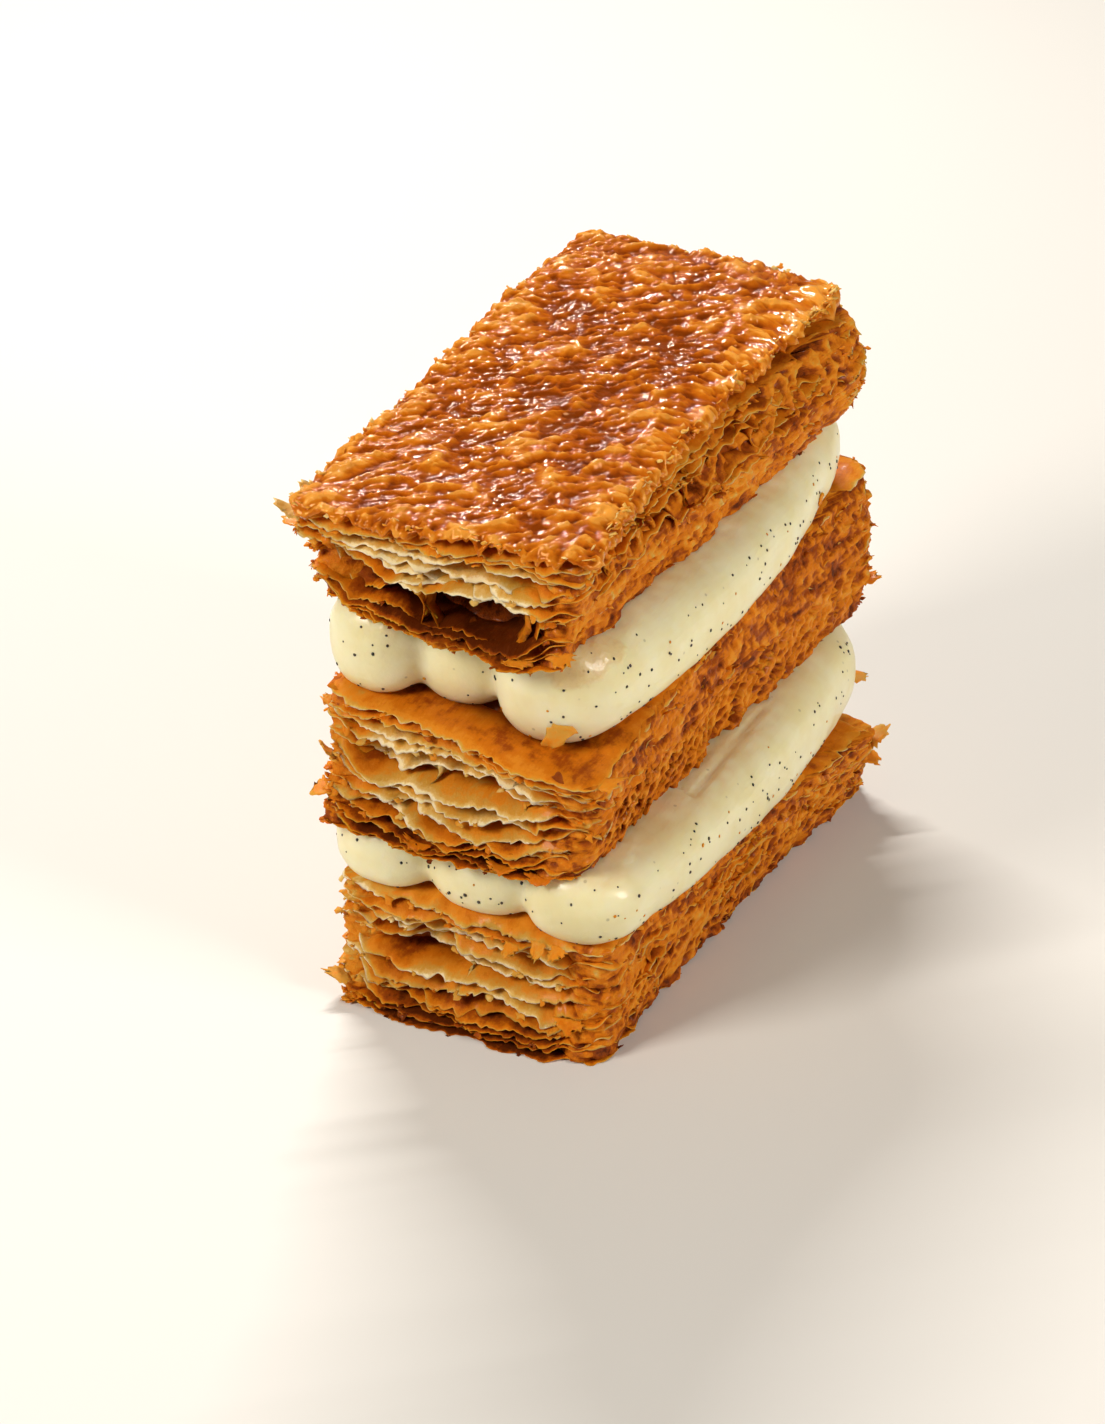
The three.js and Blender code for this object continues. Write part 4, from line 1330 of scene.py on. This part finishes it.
# %% [markdown]
# ## Caramel
# Caramel is clear brown glass over brown dough. Where it lies thick, in the valleys, it looks
# nearly black red. On the ridges it is thin and the golden dough shows. Its gloss is tinted
# amber, because light is reflected by many sugar layers inside the glaze, and a thin clear coat
# adds the few white, hard glints of its outer skin.

# %% The caramel material
BURNT = [(0.0, (0.24, 0.042, 0.002)), (0.25, (0.38, 0.074, 0.003)), (0.5, (0.50, 0.118, 0.004)),
         (0.75, (0.60, 0.172, 0.008)), (1.0, (0.77, 0.31, 0.04))]


def caramel_material():
    """Clear, hard caramel: burnt in the valleys and where it is scorched, golden on the ridges."""
    material, nodes, links, shader = principled("caramel glaze")
    where = nodes.new("ShaderNodeTexCoord").outputs["Object"]
    small = sums(nodes, links, "SUBTRACT", grain(nodes, links, where, 3.2, 4.0, 0.6), 0.5)
    height = remap(nodes, links, mark_value(nodes, "relief"), -0.2, 1.0, 0.0, 1.0)
    tone = sums(nodes, links, "MULTIPLY_ADD", mark_value(nodes, "scorch"), -0.85, -0.06)
    tone = sums(nodes, links, "MULTIPLY_ADD", height, 1.22, tone)
    tone = sums(nodes, links, "MULTIPLY_ADD", small, 0.6, tone)
    burnt = ramp(nodes, BURNT, "burnt to golden")
    links.new(tone, burnt.inputs["Fac"])
    links.new(burnt.outputs["Color"], shader.inputs["Base Color"])
    ripples = grain(nodes, links, where, 0.9, 1.0, 0.5, (0.7, 1.0, 1.0))
    bumpy(nodes, links, shader, ripples, 0.07, 0.8)
    tune(shader, {"Roughness": 0.06, "Specular IOR Level": 0.32,
                  "Specular Tint": (1.0, 0.55, 0.2, 1), "Coat Weight": 0.04, "Coat Roughness": 0.03,
                  "Subsurface Weight": 0.15, "Subsurface Radius": (1.0, 0.4, 0.1),
                  "Subsurface Scale": 0.8 * MM})
    return material


caramel = caramel_material()
serve(crust, caramel, "pastry_top")
print("caramel scale has", len(BURNT), "stops")

# %% [markdown]
# ## Piping the cream
# Three ropes of cream are piped side by side in each layer. Pressed between the slabs, they
# swell and fuse, and each keeps its round front end. The ropes are made one by one as tubes
# with a squarish section, melted together with a voxel remesh, and smoothed, as a wet spoon would.

# %% Ropes of cream
# places of the front, middle and back of each rope across the slice, its ends, and half its width
UPPER_ROPES = [dict(x=(-18.8, -19.2, -20.7), front=-41.2, back=50.5, half=8.1),
               dict(x=(-7.2, -5, -5.7), front=-37.6, back=51.5, half=8.6),
               dict(x=(6.3, 11.4, 3.8), front=-39.8, back=51, half=9.3)]
LOWER_ROPES = [dict(x=(-17.2, -16.8, -15), front=-43.3, back=44, half=8.8),
               dict(x=(-2.4, -0.4, -1), front=-42.6, back=45, half=9.4),
               dict(x=(11.4, 15.6, 11.4), front=-42.6, back=45.5, half=8.6)]
print("ropes:", len(LOWER_ROPES), "below and", len(UPPER_ROPES), "above")

# %% Piping one rope
SQUARENESS = 2.5  # 2 gives a round section, more gives a squarer one
ROUND_END = 7.5  # mm
OVERLAP = 0.6  # how far the cream is pressed into the slabs below and above it (mm)
SECTIONS, AROUND = 90, 40  # points along a rope and round it


def squarish(wave):
    """A sine or cosine, pushed outward so that a round section becomes a squarer one."""
    return np.sign(wave) * np.abs(wave) ** (2 / SQUARENESS)


def rounded(distance, length):
    """Rises from 0 to 1 within `length` of an end, like a quarter of a circle."""
    return np.sqrt(1 - np.clip(1 - distance / length, 0, 1) ** 2)


def pipe_rope(rope, below, above):
    """Points and faces of one rope, pressed between one slab's lid and the next one's floor."""
    t = 0.5 - 0.5 * np.cos(np.pi * (np.arange(SECTIONS) + 0.5) / SECTIONS)
    y = (rope["front"] + (rope["back"] - rope["front"]) * t)[:, None]
    a, b, c = rope["x"]
    x = (2 * (t - 0.5) * (t - 1) * a + 4 * t * (1 - t) * b + 2 * t * (t - 0.5) * c)[:, None]
    turn = (2 * np.pi * np.arange(AROUND) / AROUND)[None]
    end = np.minimum(y - rope["front"], rope["back"] - y)
    across = squarish(np.cos(turn)) * rope["half"] * rounded(end, ROUND_END)
    low = face_height(below, "lid", x, y) - OVERLAP
    high = face_height(above, "floor", x, y) + OVERLAP
    rise = squarish(np.sin(turn)) * (high - low) / 2 * rounded(end, ROUND_END / 2)
    place = np.stack([x + across, y + 0 * across, (low + high) / 2 + rise], -1)
    sideways = np.stack([np.cos(turn), 0 * turn, 0 * turn], -1)
    place = place + 0.35 * soft_noise(place, 9, 91)[..., None] * sideways
    tips = np.stack([place[0].mean(0), place[-1].mean(0)])
    i = np.arange(AROUND)
    ahead, last, tip = (i + 1) % AROUND, (SECTIONS - 1) * AROUND, SECTIONS * AROUND
    fans = np.concatenate([fan(i, ahead, tip), fan(last + ahead, last + i, tip + 1)])
    quads = sleeve(SECTIONS, AROUND, wrap_rows=False)[:, ::-1]
    return np.concatenate([place.reshape(-1, 3), tips]), quads, fans


first_rope = pipe_rope(LOWER_ROPES[0], SLABS["pastry_bottom"], SLABS["pastry_middle"])
print("a rope has", len(first_rope[0]), "points before melting")


# %% Melting the ropes together
VOXEL, SMOOTHING = 0.68, 9  # mm, and rounds


def melt_together(piece):
    """Fuses the ropes in one skin and smooths it."""
    bpy.context.view_layer.objects.active = piece
    for kind, settings in (
            ("REMESH", dict(mode="VOXEL", voxel_size=VOXEL * MM, use_smooth_shade=True)),
            ("SMOOTH", dict(factor=0.6, iterations=SMOOTHING))):
        step = piece.modifiers.new(kind, kind)
        for key, value in settings.items():
            setattr(step, key, value)
    graph = bpy.context.evaluated_depsgraph_get()
    skin = bpy.data.meshes.new_from_object(piece.evaluated_get(graph))
    piece.modifiers.clear()
    old = piece.data
    piece.data = skin
    bpy.data.meshes.remove(old)
    print("%-22s %7d triangles after melting" % (piece.name, triangles(skin)))
    return piece


def pipe_layer(name, ropes, below, above):
    """One layer: its ropes piped side by side and melted together."""
    points, quads, fans, first = [], [], [], 0
    for rope in ropes:
        p, q, f = pipe_rope(rope, SLABS[below], SLABS[above])
        points.append(p)
        quads.append(q + first)
        fans.append(f + first)
        first += len(p)
    layer = make_mixed(name, np.concatenate(points), np.concatenate(quads), np.concatenate(fans))
    return melt_together(layer)


lower_cream = pipe_layer("piped_cream_lower", LOWER_ROPES, "pastry_bottom", "pastry_middle")
upper_cream = pipe_layer("piped_cream_upper", UPPER_ROPES, "pastry_middle", "pastry_top")

# %% [markdown]
# ## Marks of the palette knife
# Real piping isn't perfectly smooth. When the next slab was pressed on, it dragged butter and
# crumbs over the cream, and these left tan smears with a raised lip, and one long furrow. The
# skin is moved in and out along its own normals, and the same masks tint it.

# %% Smears and a furrow
# middle (mm), reach (mm) and strength of each smear; the furrow is a line of points
SMEARS = {
    "upper": [((11.4, -37.8, 60.4), 3.0, 0.42), ((13.4, -35.4, 61.0), 3.2, 0.45),
              ((14.6, -32.2, 61.6), 2.8, 0.38), ((15.2, -27.0, 62.2), 1.6, 0.2),
              ((-14.6, -39.4, 60.6), 1.6, 0.25)],
    "lower": [((14.6, -37.4, 28.8), 2.4, 0.26), ((15.8, -32.0, 29.2), 2.6, 0.22),
              ((17.8, -4.0, 28.6), 2.0, 0.12)],
}
FURROWS = {
    "upper": [],
    "lower": [(16.0, -12.7, 29.2), (17.4, -13.5, 29.1), (18.8, -13.9, 28.8), (18.7, -10.2, 28.9),
              (18.4, -3.7, 29.0), (18.1, 3.3, 29.0), (17.9, 9.4, 29.0), (17.9, 11.8, 29.0)],
}


print("smears:", {layer: len(found) for layer, found in SMEARS.items()})


# %% Kneading the skin
def read_skin(skin):
    """Points (mm) and normals of a mesh."""
    spots, normals = np.empty(len(skin.vertices) * 3), np.empty(len(skin.vertices) * 3)
    skin.vertices.foreach_get("co", spots)
    skin.vertices.foreach_get("normal", normals)
    return spots.reshape(-1, 3) / MM - SHIFT, normals.reshape(-1, 3)


def knead(cream, layer, above, seed):
    """Moves the skin of a layer along its normals and writes how smeared each point is."""
    skin = cream.data
    spots, normals = read_skin(skin)
    gap = face_height(SLABS[above], "floor", spots[:, 0], spots[:, 1]) - spots[:, 2]
    lift = 0.14 * soft_noise(spots, 6, seed) + 0.07 * soft_noise(spots, 2.6, seed + 1)
    patchy = np.clip(0.6 + 0.9 * soft_noise(spots, 2.2, seed + 2), 0, 1)
    tan = 0.3 * smooth_step((1.5 - gap) / 1.8) * patchy
    for middle, reach, strength in SMEARS[layer]:
        ragged = np.linalg.norm(spots - middle, axis=1) + 0.5 * soft_noise(spots, 1.6, seed + 3)
        mask = smooth_step((reach - ragged) / 0.6)
        lift += 0.22 * mask
        tan = np.maximum(tan, strength * mask)
    line = np.array(FURROWS[layer])
    for start, end in zip(line[:-1], line[1:]):
        share = np.clip((spots - start) @ (end - start) / np.sum((end - start) ** 2), 0, 1)
        away = np.linalg.norm(spots - start - share[:, None] * (end - start), axis=1)
        groove = np.exp(-(away / 0.45) ** 2)
        tan = np.maximum(tan, 0.42 * groove)
        lips_and_groove = 0.2 * np.exp(-((away - 1.0) / 0.35) ** 2) - 0.5 * groove
        lift = np.where(away < 1.6, np.minimum(lift, lips_and_groove), lift)
    moved = (spots + normals * lift[:, None] + SHIFT) * MM
    skin.vertices.foreach_set("co", moved.astype(np.float32).ravel())
    set_numbers(skin, "smear", tan)
    skin.update()
    print("%s layer: %.1f%% of its skin is smeared" % (layer, 100 * np.mean(tan > 0.1)))


knead(lower_cream, "lower", "pastry_middle", 400)
knead(upper_cream, "upper", "pastry_top", 410)

# %% [markdown]
# ## Cream and vanilla
# Pastry cream is an emulsion: light goes a few millimetres in and comes back softened and yellow,
# so shadows on it glow. Its surface is wet. Scraped vanilla leaves black seeds in it, most of
# them sunk below the surface as grey smudges, which are painted, and some right on top, which
# are real grains.

# %% The cream material
def blend(nodes, links, share, colour, other):
    """A colour that goes over to the plain colour `other` where `share` is 1."""
    node = nodes.new("ShaderNodeMix")
    node.data_type = "RGBA"
    share_in, colour_in, other_in = (node.inputs[n] for n in (0, 6, 7))
    other_in.default_value = (*other, 1)
    links.new(share, share_in)
    links.new(colour, colour_in)
    return node.outputs[2]


def cream_material():
    """Moist cream with sunken seeds, tan smears, and the fine combing of the piping."""
    material, nodes, links, shader = principled("vanilla cream")
    where = nodes.new("ShaderNodeTexCoord").outputs["Object"]
    cloud = grain(nodes, links, where, 9, 3.0)
    body = ramp(nodes, [(0.35, (0.79, 0.70, 0.38)), (0.65, (0.83, 0.77, 0.49))], "butter to ivory")
    links.new(cloud, body.inputs["Fac"])
    sunk = nodes.new("ShaderNodeTexVoronoi")
    sunk.inputs["Scale"].default_value = 1000.0 / 3.4
    links.new(where, sunk.inputs["Vector"])
    speck = remap(nodes, links, sunk.outputs["Distance"], 0.05, 0.09, 0.45, 0.0)
    specked = blend(nodes, links, speck, body.outputs["Color"], (0.22, 0.19, 0.12))
    smeared = blend(nodes, links, mark_value(nodes, "smear"), specked, (0.66, 0.38, 0.11))
    links.new(smeared, shader.inputs["Base Color"])
    swirls = grain(nodes, links, where, 4.0, 3.0, 0.5, (1, 0.4, 1))
    combed = grain(nodes, links, where, 0.7, 2.0, 0.5, (1, 0.16, 0.8))
    crumbly = grain(nodes, links, where, 0.9, 2.0, 0.5)
    grainy = sums(nodes, links, "MULTIPLY", crumbly, mark_value(nodes, "smear"))
    height = sums(nodes, links, "MULTIPLY_ADD", combed, 0.3, swirls)
    height = sums(nodes, links, "MULTIPLY_ADD", grainy, 2.0, height)
    bumpy(nodes, links, shader, height, 0.35, 0.6)
    tune(shader, {"Roughness": 0.42, "Coat Weight": 0.3, "Coat Roughness": 0.14,
                  "Subsurface Weight": 0.75, "Subsurface Radius": (1.0, 0.8, 0.4),
                  "Subsurface Scale": 3.0 * MM})
    return material


vanilla_cream = cream_material()
serve(lower_cream, vanilla_cream, "cream_lower")
serve(upper_cream, vanilla_cream, "cream_upper")
print("material:", vanilla_cream.name)

# %% The shape of a grain
# a ball with twelve corners and twenty triangles (an icosahedron) is round enough for a seed
GOLDEN = (1 + 5 ** 0.5) / 2
TWELVE = np.array([[-1, GOLDEN, 0], [1, GOLDEN, 0], [-1, -GOLDEN, 0], [1, -GOLDEN, 0],
                   [0, -1, GOLDEN], [0, 1, GOLDEN], [0, -1, -GOLDEN], [0, 1, -GOLDEN],
                   [GOLDEN, 0, -1], [GOLDEN, 0, 1], [-GOLDEN, 0, -1], [-GOLDEN, 0, 1]])
TWELVE /= np.linalg.norm(TWELVE[0])
TWENTY = np.array([[0, 11, 5], [0, 5, 1], [0, 1, 7], [0, 7, 10], [0, 10, 11], [1, 5, 9], [5, 11, 4],
                   [11, 10, 2], [10, 7, 6], [7, 1, 8], [3, 9, 4], [3, 4, 2], [3, 2, 6], [3, 6, 8],
                   [3, 8, 9], [4, 9, 5], [2, 4, 11], [6, 2, 10], [8, 6, 7], [9, 8, 1]])
print("a grain has", len(TWELVE), "corners and", len(TWENTY), "triangles")


# %% Vanilla seeds and crumbs on the cream
def strew_seeds(name, cream, count, largest, squash, seed):
    """Small grains set half deep in the sides of a layer of cream, all in one mesh."""
    random = np.random.default_rng(seed)
    places, normals = read_skin(cream.data)
    open_side = np.flatnonzero(np.abs(normals[:, 2]) < 0.8)
    chosen = random.choice(open_side, count, replace=False)
    size = largest * random.uniform(0.45, 1.0, (count, 1, 1))
    size = size * random.uniform(0.8, 1.2, (count, 1, 3))
    grains = TWELVE[None] * size
    normal = normals[chosen][:, None]
    sunk = (1 - squash) * np.sum(grains * normal, -1, keepdims=True)
    grains = grains - sunk * normal + places[chosen][:, None]
    faces = (TWENTY[None] + 12 * np.arange(count)[:, None, None]).reshape(-1, 3)
    return make_piece(name, grains.reshape(-1, 3), faces)


def seed_material():
    """Dull black seeds, some of them brown."""
    material, nodes, links, shader = principled("vanilla seed")
    where = nodes.new("ShaderNodeTexCoord").outputs["Object"]
    stops = [(0.35, (0.012, 0.009, 0.007)), (0.7, (0.05, 0.032, 0.02))]
    shades = ramp(nodes, stops, "black to brown")
    links.new(grain(nodes, links, where, 6, 2.0), shades.inputs["Fac"])
    links.new(shades.outputs["Color"], shader.inputs["Base Color"])
    shader.inputs["Roughness"].default_value = 0.4
    return material


SEEDS = dict(count=250, largest=0.3, squash=0.64)  # in each layer; radius in mm
CRUMBS = dict(count=46, largest=0.34, squash=0.35)
CREAMS = {"lower": lower_cream, "upper": upper_cream}
vanilla_seed = seed_material()
for n, (label, cream) in enumerate(CREAMS.items()):
    grains = strew_seeds("seeds_" + label, cream, **SEEDS, seed=40 + n)
    serve(grains, vanilla_seed)
    crumbs = strew_seeds("crumbs_" + label, cream, **CRUMBS, seed=50 + n)
    set_numbers(crumbs.data, "bake_and_shade", np.full(len(crumbs.data.vertices), 0.42))
    serve(crumbs, leaf_finish)

# %% [markdown]
# ## Shards
# A few long splinters stand out at the corners and hang from torn leaves, where the pastry was
# torn instead of cut, and a few broken flakes stick to the cream. Each is a small sheet that is
# wide where it is rooted and ragged at its tip. Its root is moved to the nearest rim of a leaf, or
# to the skin of the cream, so that it never hangs in the air.

# %% Where splinters grow
# root (mm), heading (degrees from +X), pitch (degrees), length and width (mm), curl, bake, and the
# slab or the layer of cream that it grows from
SPLINTERS = [
    ((-22.6, -42.6, 3.2), 214, 2, 3.2, 4.6, 0.06, 0.36, "pastry_bottom"),
    ((-22.9, -41.0, 5.2), 190, -16, 1.8, 4.6, -0.12, 0.45, "pastry_bottom"),
    ((-27.6, -39.6, 77.2), 205, 6, 3.0, 4.2, 0.10, 0.22, "pastry_top"),
    ((-28.6, -33.5, 78.4), 180, 14, 2.8, 3.4, 0.06, 0.14, "pastry_top"),
    ((-28.6, -38.4, 73.0), 200, -10, 2.0, 3.8, 0.10, 0.4, "pastry_top"),
    ((-24.6, -41.0, 39.0), 222, 40, 2.4, 3.4, 0.06, 0.36, "pastry_middle"),
    ((-24.9, -41.6, 33.0), 228, -2, 2.2, 4.4, -0.06, 0.4, "pastry_middle"),
    ((-24.6, -38.4, 45.5), 195, 10, 1.8, 4.2, 0.10, 0.4, "pastry_middle"),
    ((24.0, 40.6, 10.6), 36, 16, 3.2, 6.0, 0.08, 0.32, "pastry_bottom"),
    ((23.6, 39.0, 6.2), 12, -6, 2.2, 4.4, -0.08, 0.5, "pastry_bottom"),
    ((18.6, 46.0, 33.6), 30, -4, 3.0, 4.2, 0.08, 0.45, "pastry_middle"),
    ((19.6, 44.6, 38.0), 10, 8, 2.0, 3.8, 0.10, 0.45, "pastry_middle"),
    ((6.4, -41.6, 62.8), 268, -22, 1.8, 4.6, 0.16, 0.55, "pastry_top"),
    ((11.4, -41.0, 63.4), 300, -30, 2.0, 3.8, 0.14, 0.48, "pastry_top"),
    ((3.6, -42.0, 29.6), 268, -14, 1.2, 4.6, -0.12, 0.62, "pastry_middle"),
    ((9.0, -42.2, 29.4), 276, -18, 1.2, 4.2, -0.14, 0.66, "pastry_middle"),
    ((-9.0, -43.0, 29.4), 262, -14, 1.2, 4.8, -0.12, 0.66, "pastry_middle"),
    ((13.6, -41.8, 5.4), 300, -20, 2.0, 4.4, -0.12, 0.5, "pastry_bottom"),
    ((20.4, 42.6, 18.8), 22, -8, 2.7, 4.0, 0.06, 0.36, "lower"),
    ((4.5, -43.6, 17.0), 262, -34, 2.0, 2.6, 0.10, 0.42, "pastry_bottom"),
    ((8.2, -43.6, 16.8), 284, -46, 2.6, 2.2, 0.12, 0.38, "pastry_bottom"),
    ((11.8, -43.4, 16.2), 270, -30, 2.2, 2.8, 0.10, 0.46, "pastry_bottom"),
    ((20.4, -41.0, 50.0), 290, -8, 2.2, 5.0, -0.05, 0.44, "pastry_middle"),
]
print("splinters:", len(SPLINTERS))


# %% The shape of a splinter
def splinter(root, heading, pitch, length, width, curl, seed, taper=0.4):
    """Points, shaped (2 skins, steps, across, 3), and faces of one torn sheet."""
    random = np.random.default_rng(seed)
    across, steps = 9, 8
    u, v = np.linspace(-1, 1, across)[None], np.linspace(0, 1, steps)[:, None]
    half = 0.5 * width * (1 - taper * v ** 1.4)
    half = half * (1 + np.where(np.abs(u) > 0.9, random.uniform(-0.3, 0.25, (steps, across)), 0))
    ragged = (v > 0.99) * random.uniform(-0.35, 0.2, (1, across))
    reach = length * v * (1 + ragged - 0.3 * np.abs(u) ** 3)
    reach = reach - 0.5 * (1 - v)
    heading, pitch = np.radians(heading), np.radians(pitch)
    level = np.cos(pitch)
    out = np.array([np.cos(heading) * level, np.sin(heading) * level, np.sin(pitch)])
    side = np.array([-np.sin(heading), np.cos(heading), 0.0])
    up = np.cross(out, side)
    ripple = 0.1 * random.normal(size=(1, across)) * v + 0.05 * random.normal(size=(steps, across))
    bend = curl * (reach ** 2 - (half * u) ** 2) + ripple
    sheet = root + (half * u)[..., None] * side + reach[..., None] * out + bend[..., None] * up
    thin = 0.12 * np.where((np.abs(u) > 0.9) | (v > 0.99), 0.3, 1.0)[..., None] * up
    grid = np.arange(steps * across).reshape(steps, across)
    quads = sheet_faces(grid)
    ring = np.concatenate([grid[0, :-1], grid[:-1, -1], grid[-1, :0:-1], grid[:0:-1, 0]])
    ahead, under = np.roll(ring, -1), steps * across
    border = np.stack([ring, ahead, ahead + under, ring + under], -1)
    faces = np.concatenate([quads[:, ::-1], quads + under, border])
    return np.stack([sheet + thin, sheet - thin]), faces


print("one splinter has", splinter(np.zeros(3), 0, 0, 3, 4, 0.1, 0)[0].size // 3, "points")


# %% Rooting and serving the sheets
def touch(layer, place):
    """The nearest point on the skin of a layer of cream (mm), and which way the skin faces."""
    near = Vector((np.array(place) + SHIFT) * MM)
    _, spot, face, _ = CREAMS[layer].closest_point_on_mesh(near)
    return np.array(spot) / MM - SHIFT, np.array(face)


def serve_sheets(name, sheets):
    """One piece from many sheets, each given as points, faces and a bake number."""
    points, faces, bakes, first = [], [], [], 0
    for sheet, quads, bake_and_shade in sheets:
        points.append(sheet.reshape(-1, 3))
        faces.append(quads + first)
        bakes.append(np.full(len(points[-1]), bake_and_shade))
        first += len(points[-1])
    marks = {"bake_and_shade": np.concatenate(bakes)}
    piece = make_piece(name, np.concatenate(points), np.concatenate(faces), marks)
    serve(piece, leaf_finish)


corner_of_cream = touch("upper", (18.0, -40.0, 56.0))[0]
print("the upper cream's right front corner is near", corner_of_cream.round(1))

# %% Splinters grow out of rims
grown = []
for n, (root, heading, pitch, length, width, curl, bake_and_shade, name) in enumerate(SPLINTERS):
    if name in CREAMS:
        root, _ = touch(name, root)
    else:
        rims = leaf_stacks[name][0][:, 1].reshape(-1, 3)
        root = rims[np.argmin(np.sum((rims - root) ** 2, 1))]
    grown.append((*splinter(root, heading, pitch, length, width, curl, 60 + n), bake_and_shade))
serve_sheets("splinters", grown)

# %% Flakes that stick to the cream
# middle (mm), turn from upright (degrees), length and width (mm), bake, how far it leans back, and
# its layer
STUCK = [((10.4, -39.2, 50.2), -52, 4.3, 3.0, 0.34, 0.5, "upper"),
         ((16.8, 30.0, 55.0), 60, 2.0, 1.8, 0.5, 0.0, "upper"),
         ((-22.0, -36.0, 24.0), 20, 1.6, 1.8, 0.5, 0.0, "lower")]


def lean_on(middle, turned, length, width, bake_and_shade, lean, layer, seed):
    """A flake that leans against the skin of the cream and touches it at its middle."""
    spot, face = touch(layer, middle)
    face = face + [0, 0, lean]
    face /= np.linalg.norm(face)
    down = np.array([0, 0, -1]) + face * face[2]
    down /= np.linalg.norm(down)
    side = np.cross(face, down)
    angle = np.radians(turned)
    along = down * np.cos(angle) + side * np.sin(angle)
    across = side * np.cos(angle) - down * np.sin(angle)
    sheet, quads = splinter(np.zeros(3), 0, 0, length, width, -0.03, seed, taper=0.04)
    sheet = sheet - [0.45 * length, 0, -0.16 - 0.8 * lean]
    return spot + sheet @ np.array([along, across, face]), quads, bake_and_shade


serve_sheets("flakes_on_cream", [lean_on(*flake, seed=90 + n) for n, flake in enumerate(STUCK)])

# %% [markdown]
# ## Light and table
# Glazed food is lit mostly from behind, so that the sugar shines, with a soft light in front to
# open the shadows between the leaves. The lamp behind is a long strip, so that its mirror image on
# each blister is a thin bright line and not a dot.

# %% Table and lamps
TABLE_SIZE = 6.0  # m, so wide that its edge is never seen
bpy.ops.mesh.primitive_plane_add(size=TABLE_SIZE)
table = bpy.context.object
table.name = "table"
linen, _, _, linen_shader = principled("table")
tune(linen_shader, {"Base Color": (0.72, 0.69, 0.64, 1), "Roughness": 0.6})
table.data.materials.append(linen)


def lamp(name, place, width, height, watts, colour):
    """A softbox at `place` (mm), `width` by `height` mm, that faces the middle of the slice."""
    light = bpy.data.lights.new(name, "AREA")
    light.shape = "RECTANGLE"
    light.size, light.size_y, light.energy, light.color = width * MM, height * MM, watts, colour
    lamp_object = bpy.data.objects.new(name, light)
    lamp_object.matrix_world = look(place, (0, 0, 40), 0)
    bpy.context.scene.collection.objects.link(lamp_object)


lamp("key", (-290, -470, 430), 220, 220, 3.3, (1.0, 0.96, 0.9))
lamp("shine", (-330, 375, 490), 300, 13, 4.4, (1.0, 0.97, 0.93))
lamp("side", (560, -40, 300), 200, 240, 2.3, (1.0, 0.97, 0.93))
world = bpy.data.worlds.new("studio")
world.use_nodes = True
tune(world.node_tree.nodes["Background"], {"Color": (1.0, 0.95, 0.88, 1), "Strength": 0.12})
bpy.context.scene.world = world

# %% Size and finish
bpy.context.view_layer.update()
shown = [o for o in bpy.data.objects if o.type == "MESH" and not o.hide_render]
print("total triangles:", sum(triangles(o.data) for o in shown))
